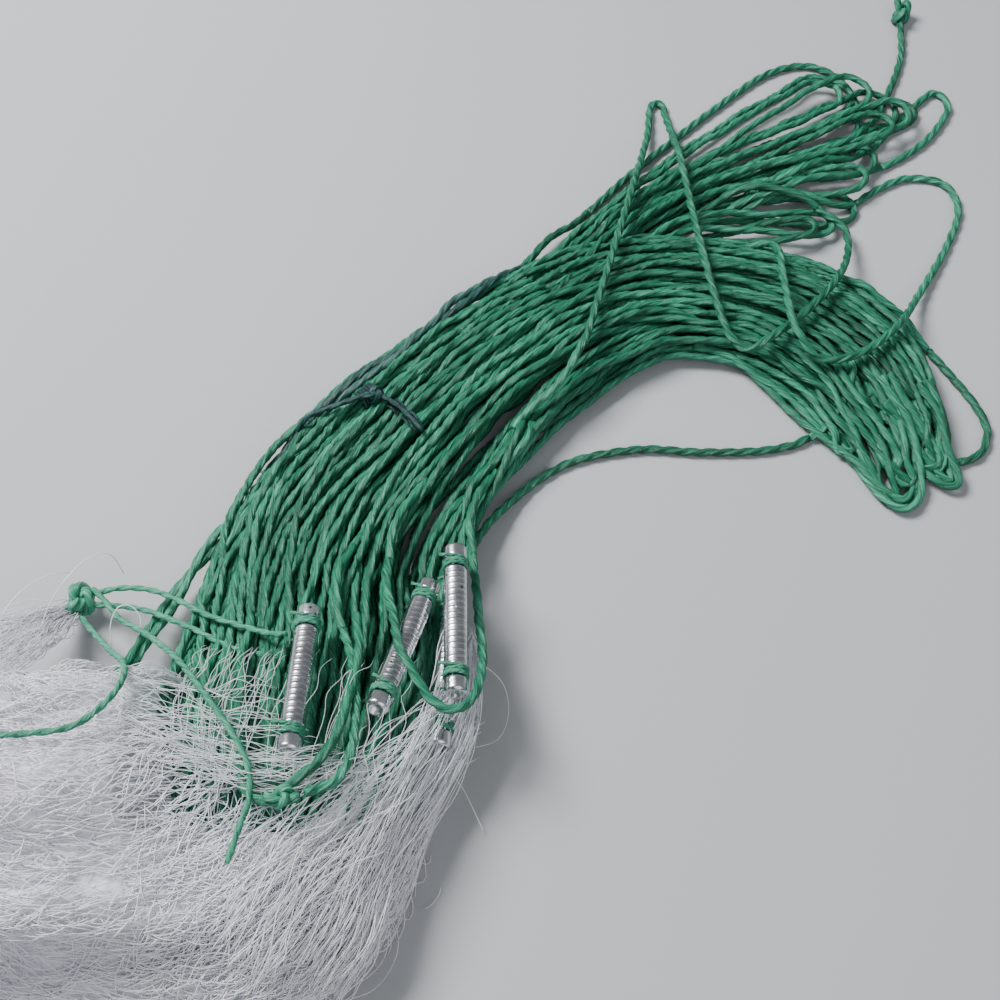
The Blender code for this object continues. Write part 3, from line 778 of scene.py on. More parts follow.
# Runs at the hank's edges that have worked loose: each is two strands, turning slowly about each
# other. Two leave the fan at its left, one at its right, and two hang open at the arc's end.
EDGE_RUNS = (
    # x, y, z of each point on the way, in millimetres
    ((52, 93, 6), (47, 86.5, 5.5), (41.5, 79.2, 5), (32.2, 68.3, 5), (26.1, 58.9, 5), (22.1, 51, 5),
     (17.6, 40.1, 6.5), (15.6, 33.3, 9), (14.2, 27.3, 13), (14, 20, 16)),
    ((56, 94, 6), (50, 85.5, 5.5), (43.7, 76.7, 5), (36.8, 62.4, 5), (32.1, 50.5, 6), (29.4, 41.2, 8),
     (26.6, 34.4, 11), (24.6, 27.4, 14), (24, 20, 16)),
    ((91, 90, 7), (89.2, 84.7, 8), (83, 73.7, 6), (79, 64.1, 6), (77.5, 57.2, 6), (73.5, 47.2, 8),
     (71.5, 37.6, 9), (70, 28, 9), (68, 20, 8)),
    ((128, 113, 4), (136, 110.5, 3), (145.5, 100.5, 2), (153, 91.5, 1.6), (159.5, 83, 1.8),
     (164.5, 76, 1.8), (168.5, 72.8, 1.8), (171.6, 76, 1.8), (172.6, 83, 3), (171.5, 92, 5),
     (168, 102, 7)),
    ((176, 101, 6), (178.5, 93, 5), (179.6, 84, 2.6), (179.8, 78.3, 1.8), (177.4, 78.6, 1.8),
     (174.6, 82, 2.2), (171, 88, 4), (167, 96, 6)),
)
DARK_RUNS = (
    # x, y, z of each point on the way, in millimetres
    ((36.6, 78.9, 2.5), (40.8, 85.7, 4), (45.2, 91.4, 5.4), (49.1, 95.2, 6.6),
     (52.8, 98.4, 7.6), (57.4, 102.5, 8.2), (62.1, 106.4, 8.4), (67.2, 111.3, 8.4),
     (74, 119.3, 8.2), (81.4, 127.4, 7.2), (89.5, 133.6, 4.6), (97, 138, 2)),
)
# Where a loose rope comes out of the hank or goes back into it, its run goes on among the others.
JOINING_RUNS = (
    # x, y, z of each point on the way, in millimetres
    ((79.5, 60, 6.5), (77.5, 55, 8), (76.5, 48, 9), (76.5, 40, 9)),
    ((151, 90, 1), (155, 92.5, 2), (159, 97, 4.5), (161, 104, 6.5), (160, 112, 6.5)),
    ((103, 107, 12.2), (100.5, 102, 11.8), (97, 97.5, 11), (93, 93, 9.5), (88, 88.5, 6.5)),
    ((160, 153.5, 4), (155, 157, 5.5), (148, 159, 6), (140, 158, 4.4), (131, 153, 2)),
    ((148, 134, 10), (147, 138, 8.8), (143, 140, 6), (136, 139, 2)),
    ((170, 158, 1), (164, 156.5, 2.6), (156, 158, 4.6), (147, 158, 4.4), (138, 154, 2)),
    ((180.5, 113.5, 1), (176.5, 119, 3), (171, 124.5, 5.6), (163, 129.5, 6.6), (154, 132, 5)),
    ((182, 83.5, 1), (178.5, 83.6, 1.8), (175.4, 87.5, 3.6), (172.6, 94, 5.4), (169, 102, 5.6)),
    ((106, 155, 1.2), (98, 146.5, 2.6), (91, 137.5, 3.6), (85, 128, 4.4), (80, 119, 4.6)),
    ((170.5, 175.5, 1), (166, 170.5, 2.8), (159, 167, 4.4), (150, 162.5, 4), (140, 156, 1.8)),
    ((177, 176.5, 1), (170.5, 171.5, 3.2), (161, 168, 4.8), (151, 163.5, 4), (141, 157.5, 1.8)),
    ((178, 170, 1), (170.5, 166, 3), (161, 163.5, 4.4), (151, 159.5, 3.8), (141, 153.5, 1.8)),
    ((179, 186.5, 1), (174, 180, 3.4), (167, 174, 4.8), (158, 168.5, 4.2), (147, 162, 1.8)),
    ((79.5, 56.5, 9.6), (79, 63, 9.4), (80.5, 70, 8.6), (84, 78, 6.6)),
    ((63.5, 54.1, 11.6), (64, 60, 11), (66, 67, 10.2), (70, 75, 8)),
    ((55.8, 37.7, 14), (54, 44, 13), (54, 51, 11.4), (56, 59, 8.6)),
    ((38, 42, 11.5), (38.2, 32, 16.5), (39.1, 22.9, 21), (40.6, 12.3, 24.6), (42, 5, 26.4),
     (44.3, 1.2, 27), (48, -0.4, 27.2), (52, 0.4, 27.4)),
    ((58.5, 40, 15.5), (59.3, 31, 19.6), (59, 22, 22.4), (57.6, 14.1, 25), (55, 7.9, 26.6),
     (52.2, 4, 27.4), (50, 2, 27.6)),
)


def twisted_pair(line, apart, lay):
    """Two lines that lie beside one, half the gap away, and turn once about it in each lay."""
    course = unit(np.gradient(line, axis=0))
    side = unit(np.cross(course, (0.0, 0.0, 1.0)))
    turn = lay_turn(line[None], lay)[0][:, None]
    off = (np.cos(turn) * side + 0.6 * np.sin(turn) * np.cross(side, course)) * apart / 2
    return line + off, line - off


def pair_lines(routes, rings):
    """Both lines of every doubled run, in metres."""
    lines = [even_line(route, rings) * MM for route in routes]
    pairs = [twisted_pair(line, ROPE_PITCH * MM, 60 * MM) for line in lines]
    return np.concatenate(pairs)


dark_rope = fibre_finish(
    "dark_rope", (0.001, 0.014, 0.012), (0.012, 0.070, 0.058), (0.09, 0.24, 0.20), 0.28, 15.0
)
hank_piece("hank_edge_runs", pair_lines(EDGE_RUNS, 110), 41)
hank_piece("hank_dark_runs", pair_lines(DARK_RUNS, 110), 43, dark_rope)
joining = np.array([even_line(route, 60) for route in JOINING_RUNS]) * MM
hank_piece("hank_joining_runs", joining, 47)


# ---- Sinkers and their seizings.
# A sinker is a small tinned tube with a row of ribs pressed across one face, a neck near each
# end and a bead past it. Turns of light twine in both necks lash it to the foot rope.
SINKER_LENGTH = 32.0
SINKER_RADIUS = 2.2
SINKERS = (
    # name, upper x, upper y, upper z, lower x, lower y, lower z
    ("sinker_left", 50, 39.5, 18.5, 49.5, 9, 25.7),
    ("sinker_right", 76.4, 54.6, 16, 77.2, 22, 19.2),
    ("sinker_middle", 71.7, 47.8, 13.2, 63.4, 18.5, 21.6),
    ("sinker_under", 76.2, 46.6, 10.4, 74, 14.3, 13.5),
)
NECK_MIDDLE = SINKER_LENGTH / 2 - 4.1
NECK_DEPTH = 0.5
HOLLOW_DEPTH = 1.2
RIB_PITCH = 1.3
RIB_DEPTH = 0.16


def tinned_metal():
    """Bright tin over lead: soft brushed sheen, dull grey rubs, dark pits, and painted shade in the
    ribs' grooves and the hollow ends.
    """
    made, shader, start, place = blank_finish("tinned_metal")
    cloudy = place.noise(190.0, 4.0, 0.6)
    grain = place.noise(2400.0, 2.0)
    pits = place.node("ShaderNodeTexVoronoi", {}, {"Vector": place, "Scale": 520.0})
    pit = 1 - pits.spread(0.10, 0.20)
    groove = start.tint()
    clean = cloudy.spread(0.35, 0.7).between(colour(0.50, 0.50, 0.53), colour(0.80, 0.80, 0.83))
    # Painted shade: the metal darkens towards near black where the tint is high, in the rib grooves and
    # the hollow ends.
    shaded_grooves = groove.between(clean, colour(0.13, 0.13, 0.15))
    pitted = (pit * cloudy.spread(0.5, 0.62)).between(shaded_grooves, colour(0.06, 0.06, 0.07))
    rough = cloudy * 0.22 + grain * 0.08 + groove * 0.25 + 0.10
    bump = (grain * 0.4 + cloudy - pit).bump(0.5, 0.0001)
    apply_to(shader, Base_Color=pitted, Roughness=rough, Normal=bump, Metallic=1.0)
    return made


def sinker_frame(upper, lower):
    """A sinker's middle, its axis towards the upper end, the way to its right and the way out."""
    axis = unit(upper - lower)
    right = unit(np.cross(axis, (0.0, -0.53, 0.85)))
    return (upper + lower) / 2, axis, right, np.cross(right, axis)


def sinker_piece(name, upper, lower, finish):
    """A turned tube whose radius dips at the necks and along each rib's two fine lines.

    The radius at a height is the barrel's, less a smooth step into each neck, less a rounding at the
    ends. Ribs only cross the face: their depth fades out at both sides of it.
    """
    middle, axis, right, out = sinker_frame(upper, lower)
    half = SINKER_LENGTH / 2
    inside = half - np.array([HOLLOW_DEPTH, 0.25, 0.05])
    height = np.concatenate([-inside, np.linspace(-half, half, 176), inside[::-1]])
    angle = np.linspace(0, 2 * pi, 36, endpoint=False)
    from_neck = np.abs(np.abs(height) - NECK_MIDDLE)
    radius = SINKER_RADIUS - NECK_DEPTH / (1 + np.exp((from_neck - 1.05) * 9))
    radius -= 0.55 * np.clip(1 - (half - np.abs(height)) / 0.7, 0, 1) ** 2
    radius[:3] = (1.1, 1.25, 1.5)
    radius[-3:] = radius[:3][::-1]
    phase = (height / RIB_PITCH) % 1
    line = np.exp(-((phase - 0.28) / 0.09) ** 2) + np.exp(-((phase - 0.62) / 0.09) ** 2)
    line = line * (np.abs(height) < NECK_MIDDLE - 1.6)
    from_face = np.abs((angle - radians(74) + pi) % (2 * pi) - pi)
    groove = line[:, None] * np.clip(1.2 - from_face / radians(42), 0, 1) ** 0.5
    wall = radius[:, None] - RIB_DEPTH * groove
    around = np.cos(angle)[:, None] * right + np.sin(angle)[:, None] * out
    points = middle + height[:, None, None] * axis + wall[..., None] * around
    # The rings run the other way round from a laid tube's, so the faces are turned over.
    quads, ends = (np.roll(faces[:, ::-1], 1, axis=1) for faces in tube_faces(1, *wall.shape))
    caps = middle + np.array([[HOLLOW_DEPTH - half], [half - HOLLOW_DEPTH]]) * axis
    points = np.vstack([points.reshape(-1, 3), caps]) * MM
    # The tint is each rib groove's depth, and 0.8 at the middles of the hollow ends: it gives the
    # metal's painted shade in the grooves and hollows.
    shade = np.concatenate([groove.ravel(), [0.8, 0.8]])
    piece = add_piece(f"{name}_ribbed", points, quads, ends, finish, tint=shade)
    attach(piece, "root")
    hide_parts(name)
    return piece


def seizing_piece(name, upper, lower, sign, seed):
    """Three turns of twine in a neck, whose two ends leave sideways to the rope and droop."""
    rng = np.random.default_rng(seed)
    middle, axis, right, out = sinker_frame(upper, lower)
    t = np.linspace(0, 1, 60)
    angle = 2 * pi * 3.5 * t - pi / 2 + rng.uniform(-0.2, 0.2)
    radius = SINKER_RADIUS - NECK_DEPTH + 0.42 + 0.05 * np.sin(9 * t + seed)
    along = sign * NECK_MIDDLE + (t - 0.5) * 1.7 + 0.12 * np.sin(14 * t + seed)
    turns = middle + along[:, None] * axis
    turns = turns + radius[:, None] * (np.cos(angle)[:, None] * right + np.sin(angle)[:, None] * out)
    ends = []
    for spot, before in ((turns[0], turns[1]), (turns[-1], turns[-2])):
        reach = np.array([0.8, 1.9, 3.2])[:, None]
        droop = np.array([(0, 0, 0), (0, 0, 0.25), (0, 0, 0.7)])
        ends.append(spot + unit(spot - before) * reach - droop)
    route = np.vstack([ends[0][::-1], turns, ends[1]])
    tint = rng.uniform(0.3, 0.9)
    piece, _ = twine_piece(name, route, light_twine, LASHING_DIAMETER, 3 * MM, tint, axis)
    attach(piece, "root")
    return piece


metal = tinned_metal()
for name, *ends in SINKERS:
    upper, lower = np.array(ends[:3]), np.array(ends[3:])
    sinker_piece(name, upper, lower, metal)
    for end, sign in (("upper", 1), ("lower", -1)):
        node = f"{name.replace('sinker', 'seizing')}_{end}"
        seizing = seizing_piece(f"{node}_turns", upper, lower, sign, len(node) + sign)
        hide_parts(node)


# ---- The netting.
# White nylon monofilament knotted into small meshes, gathered lengthwise into a soft bundle. The
# body under the outer layers is one padded form; over it lie the outer meshes, thread by thread.
NET_SECTIONS = (
    # front x, front y, back x, back y, height, in millimetres
    (-78, -7, -78, 8, 14), (-74, -17, -74, 17, 28),
    (-60, -25, -59, 23, 40), (-34, -27, -34, 25, 45),
    (-8, -26, -8, 24, 42), (15, -27, 11, 25, 37),
    (34, -29, 31, 29, 27.5), (50, -28, 52, 33, 21),
    (61, -23, 67, 36, 15.5), (68, -13, 76, 35, 8),
    (71, -3, 80, 30, 4.5),
)
NET_START = -80
NET_LENGTH = 165.0
BODY_ROUND = 28
SKIN_ROUND = 26
FOLDS = 8
FOLD_DEPTH = 2.2
THREAD_RADIUS = 0.10
THREAD_TUCK = 0.45
CHAIN_DIP = 2.2
NET_EDGE_X = (-80, 5, 22, 30, 40, 48, 57, 65, 72, 80)
NET_EDGE_Y = (40, 34, 24, 15, 8, 1, 0, 4, 11, 23)
ROPES_MIDDLE = (0.050, 0.030, 0.014)
ROPE_BED_Y = (-8, -2, 10, 24, 38, 50)
ROPE_BED_HEIGHT = (40, 17, 13, 8.5, 4, 1)


def net_rings(u, angle, inset):
    """Points on the bundle's skin at u along it and an angle round it, an inset below the skin.

    The base is flat and the back round; eight lengthwise folds run round it, deepest where it is tall.
    """
    rows = np.array([(fx, fy, 0, bx, by, height) for fx, fy, bx, by, height in NET_SECTIONS], float)
    fine = smooth_line(rows, 0.5)
    spot = u * (len(fine) - 1)
    fx, fy, _, bx, by, height = (np.interp(spot, np.arange(len(fine)), column) for column in fine.T)
    across = np.sign(np.cos(angle)) * np.abs(np.cos(angle)) ** 0.85
    up = np.clip((np.sin(angle) + 0.62) / 1.62, 0, None)
    fold = FOLD_DEPTH * np.cos(FOLDS * angle + 11 * u) * (up > 0)
    fold = fold * np.minimum(1, (height / 45) ** 1.5)
    half = np.stack([bx - fx, by - fy], axis=-1) / 2
    size = np.linalg.norm(half, axis=-1)
    flat = np.stack([fx + bx, fy + by], axis=-1) / 2
    flat = flat + half * (across * (1 + (fold - inset) / size))[..., None]
    tall = up * np.maximum(height + fold - inset, 0.4)
    return np.concatenate([flat, tall[..., None]], axis=-1)


def lie_of_mesh(x, y):
    """The heading of the gathered meshes: along the bundle, turning up towards the foot rope."""
    turn = 0.03 + 0.80 * np.clip((x - 5) / 40, 0, 1) + 0.45 * np.clip((x - 52) / 16, 0, 1)
    return turn * (1 - 0.8 * np.clip((y - 10) / 18, 0, 1) * np.clip((40 - x) / 20, 0, 1))


def green_cast(place, shade):
    """The shade, mixed with a little of the ropes' green where the netting is thin over them."""
    inputs = {0: place, 1: ROPES_MIDDLE}
    near = place.node("ShaderNodeVectorMath", {"operation": "DISTANCE"}, inputs, output="Value")
    return ((1 - near.spread(0.008, 0.042)) * 0.28).between(shade, colour(0.16, 0.50, 0.36))


def soft_mass_finish():
    """Nylon meshes in a soft mass: white with faint lilac and grey clouds, and fine low streaks."""
    made, shader, start, place = blank_finish("net_body")
    lay = start.lay()
    cloud = place.noise(55.0, 3.0)
    streaks = lay.stretched((260.0, 1500.0, 1.0)).noise(1.0, 4.0, 0.6)
    tufts = lay.stretched((120.0, 420.0, 1.0)).noise(1.0, 3.0, 0.6)
    tone = (cloud * 0.4 + streaks * 0.35 + tufts * 0.35).spread(0.30, 0.80)
    shade = tone.between(colour(0.78, 0.77, 0.86), colour(0.97, 0.955, 1.0))
    bump = (streaks * 0.6 + tufts).bump(0.55, 0.0006)
    apply_to(shader, Base_Color=green_cast(place, shade), Roughness=streaks * 0.2 + 0.5)
    apply_to(shader, Normal=bump, Sheen_Weight=0.25)
    return made


def monofilament_finish():
    """One thread of white nylon: smooth, glossy, a tint of its own and faint clouds."""
    made, shader, start, place = blank_finish("net_thread")
    tone = (place.noise(60.0, 3.0) * 0.5 + start.tint() * 0.4).spread(0.2, 0.7)
    shade = tone.between(colour(0.86, 0.85, 0.93), colour(0.985, 0.97, 1.0))
    rough = place.noise(900.0, 2.0) * 0.2 + 0.22
    apply_to(shader, Base_Color=green_cast(place, shade), Roughness=rough)
    return made


net_body_finish = soft_mass_finish()
thread_finish = monofilament_finish()


def net_body():
    """The padded body: the bundle's skin taken in a little, and far more where the ropes leave it.

    Fine ridges run with the lie of the mesh: each ring's ripple is the first's, shifted round by the
    slope of the lie summed up so far. Where the hank comes out, the top is pressed down to its bed.
    """
    rings, sides = 260, 170
    u = np.linspace(0, 1, rings)[:, None]
    angle = np.linspace(0, 2 * pi, sides, endpoint=False)[None]
    slope = np.tan(np.minimum(lie_of_mesh(u[:, 0] * NET_LENGTH + NET_START, 0.0), 1.0))
    shift = np.cumsum(slope) * NET_LENGTH / rings
    rng = np.random.default_rng(3)
    ripple = wander(rng, sides, rings, 0.34, 5).T
    column = (np.arange(sides)[None] + (shift / BODY_ROUND * sides / (2 * pi))[:, None]) % sides
    low = column.astype(int)
    share = column - low
    row = np.arange(rings)[:, None]
    ripple = ripple[row, low] * (1 - share) + ripple[row, (low + 1) % sides] * share
    inset = 0.9 + 5.5 * np.clip((u - 0.72) / 0.28, 0, 1) ** 1.3 + ripple
    points = net_rings(u + 0 * angle, angle + 0 * u, inset)
    bed = np.interp(points[..., 1], ROPE_BED_Y, ROPE_BED_HEIGHT)
    beside = np.clip((np.abs(points[..., 0] - 50.5) - 25) / 6, 0, 1) * 30
    points[..., 2] = np.minimum(points[..., 2], bed + beside)
    middles = np.stack([points[0].mean(axis=0), points[-1].mean(axis=0)])
    points = np.vstack([points.reshape(-1, 3), middles]) * MM
    quads, ends = tube_faces(1, rings, sides)

    along = np.broadcast_to(u * NET_LENGTH * MM, (rings, sides + 1))
    around = -np.linspace(0, 2 * pi, sides + 1)[None] * BODY_ROUND * MM - shift[:, None] * MM
    lay = np.stack([along, around], axis=2)
    corners = [lay[:-1, :-1], lay[1:, :-1], lay[1:, 1:], lay[:-1, 1:]]
    uv = np.vstack([np.stack(corners, axis=2).reshape(-1, 2), np.zeros((ends.size, 2))])
    shade = np.full(len(points), 0.4)
    piece = add_piece("net_body", points, quads, ends, net_body_finish, uv, shade)
    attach(piece, "root")
    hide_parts("net_bundle")


net_body()


def thread_piece(name, lines, tint, radius=THREAD_RADIUS):
    """Threads along lines in millimetres, each three-sided, as one piece."""
    lines = lines.copy()
    lines[..., 2] = np.maximum(lines[..., 2], radius)
    turn = np.zeros(lines.shape[:2])
    piece = laid_tubes(name, lines * MM, radius * MM, np.ones(3), turn, thread_finish, tint)
    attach(piece, "root")
    return piece


def past_edge(places):
    """How far each line's furthest place lies past the netting's edge, over the ropes."""
    return (places[..., 1] - np.interp(places[..., 0], NET_EDGE_X, NET_EDGE_Y)).max(axis=1)


def end_dip(count):
    """One at the first and last of a line's points, and down to nothing three points further in."""
    from_end = np.minimum(np.arange(count), np.arange(count)[::-1])
    return np.clip(1 - from_end / 3, 0, 1) ** 2


def skin_threads(name, count, along, around, length, arch, seed, rings, spread, deep):
    """Short threads that stand out of the skin in low arches, both ends tucked under it.

    Each starts at a random place along and round the skin, and follows the lie of the mesh with a
    stray and a bend of its own. It rises over the skin by its arch times the sine of a half turn,
    less a tuck, and less a random part of the greatest depth. None goes far past the edge.
    """
    rng = np.random.default_rng(seed)
    t = np.linspace(0, 1, rings)
    u = rng.uniform(*along, (count, 1))
    angle = rng.uniform(*around, (count, 1)) * pi
    start = net_rings(u, angle, 0 * u)
    heading = lie_of_mesh(start[..., 0], start[..., 1]) + rng.normal(0, spread, (count, 1))
    heading = heading + rng.normal(0, 0.9, (count, 1)) * (t - 0.5)
    step = rng.uniform(*length, (count, 1)) / (rings - 1)
    across = start[..., 1] + np.cumsum(np.sin(heading), axis=1) * step
    u = u + np.cumsum(np.cos(heading), axis=1) * step / NET_LENGTH
    angle = angle - (across - start[..., 1]) / SKIN_ROUND
    rise = rng.uniform(*arch, (count, 1)) * np.sin(pi * t) - THREAD_TUCK
    rise = rise - rng.uniform(0, deep, (count, 1))
    lines = net_rings(np.clip(u, 0.004, 0.996), angle, -rise)
    kept = past_edge(lines) < rng.uniform(-2, 3, count)
    return thread_piece(name, lines[kept], rng.uniform(0, 1, kept.sum()))


FLUFF = (
    # name, count, range along the skin and in half turns round it, lengths, arches, seed, points,
    # spread of headings, greatest depth
    ("net_far_fluff", 1800, (0.01, 0.42), (-0.14, 1.14), (5, 13), (0.7, 1.5), 211, 8, 0.3, 0),
    ("net_near_fluff_1", 2400, (0.3, 0.8), (-0.14, 1.12), (4, 12), (0.6, 1.3), 212, 8, 0.3, 0),
    ("net_near_fluff_2", 1800, (0.38, 0.9), (-0.05, 1.05), (3, 9), (0.7, 1.6), 213, 8, 0.45, 0),
    ("net_right_fluff_1", 1500, (0.66, 0.98), (-0.14, 0.95), (3, 8), (0.8, 2.2), 214, 8, 0.9, 1.5),
    ("net_right_fluff_2", 800, (0.72, 0.985), (-0.14, 0.8), (6, 12), (1, 3), 215, 12, 0.8, 4),
)
for row in FLUFF:
    skin_threads(*row)

HEAP_CELL = 0.5
HEAP_LOW = np.array([-84.0, -36.0])
HEAP_CELLS = (340, 156)


def heap_heights():
    """The height of the bundle's skin over the floor on a grid of half-millimetre cells."""
    u = np.linspace(0, 1, 900)[:, None]
    angle = np.linspace(-0.2 * pi, 1.2 * pi, 700)[None]
    u, angle = np.broadcast_arrays(u, angle)
    skin = net_rings(u, angle, 0.0 * u).reshape(-1, 3)
    cells = np.zeros(HEAP_CELLS)
    spot = ((skin[:, :2] - HEAP_LOW) / HEAP_CELL).astype(int)
    np.maximum.at(cells, (spot[:, 0], spot[:, 1]), skin[:, 2])
    for _ in range(3):
        cells[1:-1, 1:-1] = (cells[1:-1, 1:-1] * 2 + cells[:-2, 1:-1] + cells[2:, 1:-1]
                             + cells[1:-1, :-2] + cells[1:-1, 2:]) / 6
    return cells


HEAP = heap_heights()


def heap_at(x, y):
    """The heap's height at places, read between its cells."""
    spot_x = np.clip((x - HEAP_LOW[0]) / HEAP_CELL, 0, HEAP_CELLS[0] - 1.01)
    spot_y = np.clip((y - HEAP_LOW[1]) / HEAP_CELL, 0, HEAP_CELLS[1] - 1.01)
    i, j = spot_x.astype(int), spot_y.astype(int)
    s, t = spot_x - i, spot_y - j
    low = HEAP[i, j] * (1 - t) + HEAP[i, j + 1] * t
    high = HEAP[i + 1, j] * (1 - t) + HEAP[i + 1, j + 1] * t
    return low * (1 - s) + high * s


def mesh_chains(name, count, x_range, y_range, lift, wide, step, veil, seed, steps=16):
    """Chains of gathered meshes over the heap, thread by thread.

    Each chain follows the lie of the mesh from a random start. Its two threads swing to either side
    by half its width, and cross at a knot once in each eye's length. They lie a lift over the heap,
    and dip under its skin at both ends. Few reach past the netting's edge, and none off the heap.
    """
    rng = np.random.default_rng(seed)
    x, y = rng.uniform(*x_range, count), rng.uniform(*y_range, count)
    way = np.empty((count, steps, 2))
    heading = np.empty((count, steps))
    stray = rng.normal(0, 0.30, count)
    for k in range(steps):
        way[:, k, 0], way[:, k, 1] = x, y
        aim = lie_of_mesh(x, y) + stray
        stray = stray * 0.95 + rng.normal(0, 0.12, count)
        heading[:, k] = aim
        x, y = x + np.cos(aim) * step, y + np.sin(aim) * step
    kept = (past_edge(way) < rng.uniform(-1, 3, count)) | (rng.uniform(0, 1, count) < veil)
    kept &= heap_at(way[..., 0], way[..., 1]).min(axis=1) > 2.0
    way, heading, count = way[kept], heading[kept], kept.sum()
    eye = rng.uniform(5, 9, (count, 1))
    swing = np.sin(pi * np.arange(steps) * step / eye + rng.uniform(0, pi, (count, 1)))
    width = rng.uniform(*wide, (count, 1)) * (1 + 0.2 * wander(rng, count, steps, 1.0, 2))
    high = rng.uniform(*lift, (count, 1))
    high = high + wander(rng, count, steps, 0.3, 3) - CHAIN_DIP * end_dip(steps)
    curl = wander(rng, count, steps, 0.14, 5)
    threads = []
    for hand in (1, -1):
        off = hand * swing * width / 2 + curl * (0.6 + 0.4 * hand)
        spot_x = way[..., 0] - np.sin(heading) * off
        spot_y = way[..., 1] + np.cos(heading) * off
        height = heap_at(spot_x, spot_y) + high + 0.06 * hand
        threads.append(np.stack([spot_x, spot_y, height], axis=-1))
    return thread_piece(name, np.concatenate(threads), np.tile(rng.uniform(0, 1, count), 2))


CHAINS = (
    # name, count, range in x and y, lifts, widths, length of a step, share past the edge, seed
    ("net_near_meshes", 240, (-26, 30), (-28, 34), (-0.5, 0.5), (0.5, 1.8), 1.2, 0.01, 202),
    ("net_right_meshes", 330, (22, 68), (-30, 14), (-2, 1), (1.4, 3.4), 1.1, 0.02, 204),
)
for row in CHAINS:
    mesh_chains(*row)


def combed_threads(name, count, guides, seed, jitter, rings, curl, dip, crowd, thin):
    """Loose threads that lie between given guide lines, each guide with as many points.

    A thread is the smooth line a random way between two guides, plus a slow drift within the jitter
    and a finer curl, and its ends may dip. A crowd below one gathers them towards the last guide.
    """
    rng = np.random.default_rng(seed)
    guides = np.array([even_line(guide, rings) for guide in guides])
    spot = rng.uniform(0, 1, count) ** crowd * (len(guides) - 1)
    low = np.minimum(spot.astype(int), len(guides) - 2)
    share = (spot - low)[:, None, None]
    lines = guides[low] * (1 - share) + guides[low + 1] * share
    for axis in range(3):
        lines[..., axis] += wander(rng, count, rings, jitter * 0.6, 3)
        lines[..., axis] += wander(rng, count, rings, curl, 7)
        lines[..., axis] += rng.normal(0, jitter * 0.25, (count, 1))
    lines[..., 2] -= dip * end_dip(rings)
    return thread_piece(name, lines, rng.uniform(0.3, 1.0, count), THREAD_RADIUS * thin)


RIGHT_EDGE = (
    ((58.5, -27, 6), (63.5, -20, 9), (65.5, -13, 10), (67.5, -7, 9), (70, -1, 8), (73, 5, 7),
     (77, 12, 8), (80, 19, 10), (81, 28, 12), (80, 36, 14)),
    ((55, -25, 13), (60, -18, 14), (62, -11, 14), (64.5, -5, 13), (67.5, 1, 13), (70.5, 7, 13),
     (74, 14, 13), (76.5, 21, 13), (78, 29, 13.5), (78.5, 36, 14)),
    ((52, -22, 18), (56, -15, 18), (59, -9, 18), (61.5, -3, 18), (64, 3, 18), (67, 9, 17.5),
     (70, 15, 17), (72.5, 22, 16.5), (74.5, 29, 16), (76, 37, 15)),
)
RIGHT_SWEEP = (
    ((38, -15, 26.5), (42, -11, 26), (46, -6, 25.5), (50, -1, 24.5), (54, 3, 23), (58, 7, 22),
     (62, 11, 20.5), (66, 15, 19), (70, 20, 17), (74, 26, 15)),
    ((42, -24, 24), (46, -18, 24.5), (50, -12, 23.5), (53, -7, 22.5), (57, -2, 21), (61, 3, 20),
     (65, 7, 18.5), (69, 12, 16.5), (74, 17, 14), (79, 23, 11)),
    ((48, -26, 19), (52, -21, 19.5), (55, -16, 18.5), (58, -11, 17.5), (61, -6, 16), (64, -1, 14),
     (67, 4, 12), (71, 9, 10), (75, 15, 9), (79, 20, 8)),
)
VEIL = (
    ((14, 25, 24), (20, 24, 25), (26, 23, 25), (32, 22, 25), (38, 22, 25.5), (45, 22, 25.5)),
    ((20, 15, 31), (27, 13, 29.5), (34, 11, 28), (41, 9, 27), (48, 8, 26.5), (55, 9, 25)),
    ((28, 6, 30), (35, 4, 28.5), (43, 2, 27.5), (50, 2, 26.5), (57, 4, 25), (64, 9, 23)),
)
WISPS = (
    ((30, 10, 27), (30, 16, 26), (30, 22, 24.5), (31, 27, 21.5), (31, 31, 18.5), (32, 34, 16)),
    ((40, 5, 27), (40.5, 11, 26.5), (41, 17, 25), (41.5, 23, 22.5), (42, 28, 19.5), (42.5, 32, 17)),
    ((56, 3, 26), (56, 9, 25.5), (56.5, 15, 24.5), (57, 20, 23), (58, 25, 21.5), (60, 30, 18.5)),
    ((68, 6, 20), (69, 11, 20.5), (70, 16, 20.5), (71, 21, 20), (72, 26, 18.5), (72, 31, 16.5)),
)
SWATH = (
    ((1.5, 48, 4.5), (-2, 45, 9), (-7, 41.5, 13), (-13, 38, 17), (-20, 34, 20), (-28, 29, 24)),
    ((1, 46.5, 4.5), (-1, 42, 9.5), (-3.5, 37, 14.5), (-7, 32, 19.5), (-11, 27, 25), (-17, 22, 30)),
    ((2.5, 45.5, 4.5), (2, 40, 9), (1.5, 34, 14.5), (1, 29, 20), (-0.5, 24, 26), (-3, 19, 31)),
)
TUFT_LEFT = (
    ((4, 20, 24), (6, 24, 24), (9, 27.5, 21.5), (12, 29, 17), (14.5, 28, 11.5)),
    ((9, 19, 24), (10.5, 22.5, 23.6), (12.5, 25.5, 20.5), (14.5, 26.8, 16), (16, 26, 11.5)),
)
TUFT_RIGHT = (
    ((14, 18, 23), (16, 23, 23.5), (20, 26.5, 21.5), (24, 28, 17.5), (28, 27.5, 12.5)),
    ((18, 16, 24.5), (19.5, 20.5, 24.5), (22, 24, 22), (25, 26, 18), (28.5, 25.5, 12.5)),
)
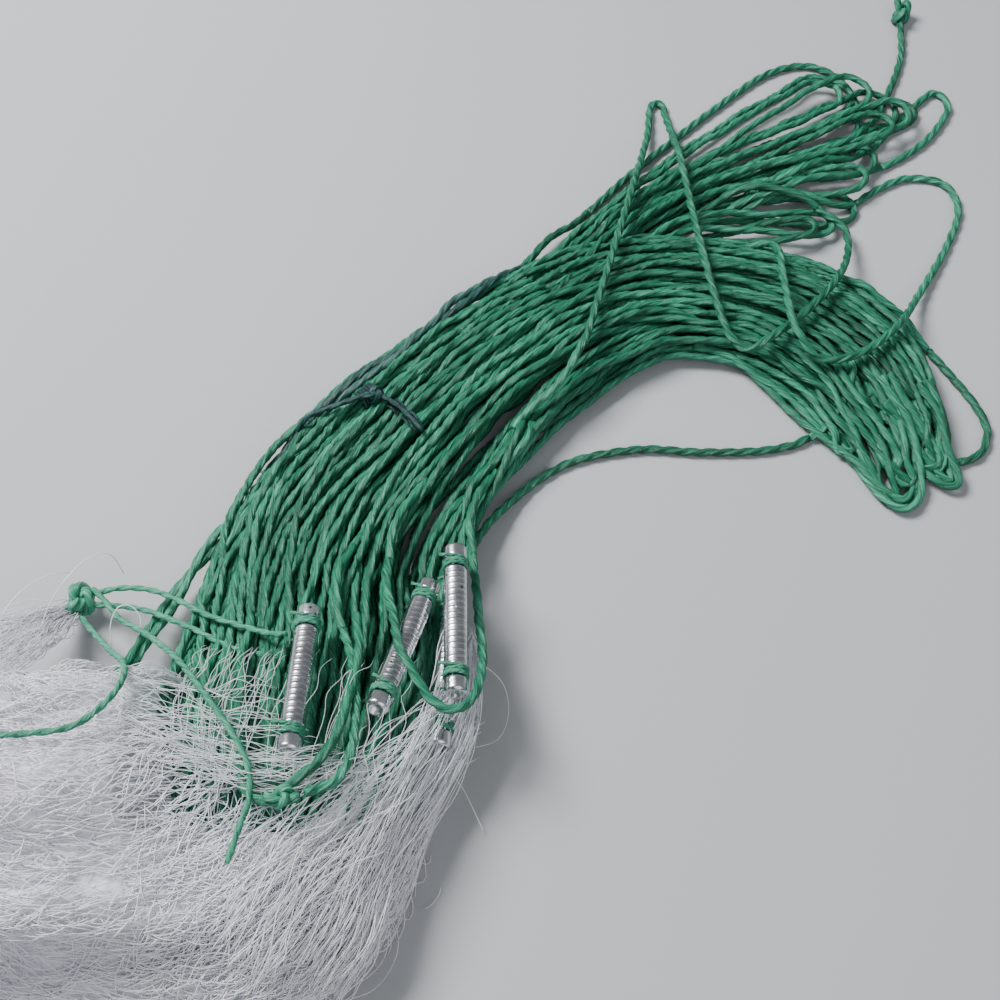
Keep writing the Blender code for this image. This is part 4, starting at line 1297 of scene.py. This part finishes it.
COMBED = (
    # name, count, guides, seed, jitter, points, curl, dip of the ends, crowding, share of thickness
    ("net_right_edge", 130, RIGHT_EDGE, 301, 1.5, 34, 0.3, 0, 1, 1),
    ("net_right_sweep", 70, RIGHT_SWEEP, 302, 2.6, 34, 0.34, 2.5, 0.8, 1),
    ("net_veil", 60, VEIL, 303, 1.7, 28, 0.05, 2, 0.7, 0.6),
    ("net_wisps", 44, WISPS, 304, 1.1, 22, 0.04, 1, 1, 0.6),
    ("net_swath", 130, SWATH, 305, 1.3, 22, 0.2, 0, 1, 1),
    ("net_tuft_left", 30, TUFT_LEFT, 306, 0.9, 18, 0.05, 0, 1, 1),
    ("net_tuft_right", 40, TUFT_RIGHT, 307, 0.9, 18, 0.05, 0, 1, 1),
)
for row in COMBED:
    combed_threads(*row)

# Single threads that have sprung out of the meshes.
SPRUNG_THREADS = (
    ((-8, 36, 14), (-7, 40, 16.5), (-4.6, 44, 17), (-2, 48, 15), (0.5, 51, 12), (1.5, 52, 10)),
    ((-1, 38, 13), (1, 42, 16), (4, 46, 18.5), (7.5, 50.5, 18.5), (10.5, 53, 15.5), (11.8, 52.5, 9)),
    ((11, 38, 7), (10.8, 41.5, 9), (12, 44.5, 10), (14.5, 44.8, 10), (16.4, 42.5, 9), (16, 39, 7)),
    ((79, 33, 10), (83, 32, 9), (86, 29, 7), (86.5, 24, 5), (84.5, 20, 4), (80, 18, 5)),
    ((76, 13, 6), (78, 11, 4), (79.5, 8.5, 3), (80.8, 6, 2), (81.6, 4.5, 1.4), (82, 3.5, 1)),
    ((69, 2, 4), (70, 0, 2), (70.2, -2, 1.2), (70.2, -4, 1), (70.1, -6, 0.8), (70, -8, 0.6)),
    ((64, -12, 9), (65.6, -14.5, 7), (66, -17.5, 5.5), (65, -20.5, 5), (63, -23, 6), (60, -25.5, 8)),
    ((65.5, -12, 7), (67.3, -15, 5), (67.5, -18.5, 4), (66, -22, 3.5), (63.5, -25, 4.5), (60, -27, 7)),
    ((74.5, -6.5, 0.6), (74.3, -7.5, 0.5), (73.8, -8.4, 0.5), (73.2, -9.2, 0.5), (72.5, -9.8, 0.5),
     (71.6, -10.2, 0.5)),
)
sprung = np.array([even_line(route, 24) for route in SPRUNG_THREADS])
thread_piece("net_sprung_threads", sprung, np.full(len(sprung), 0.9))
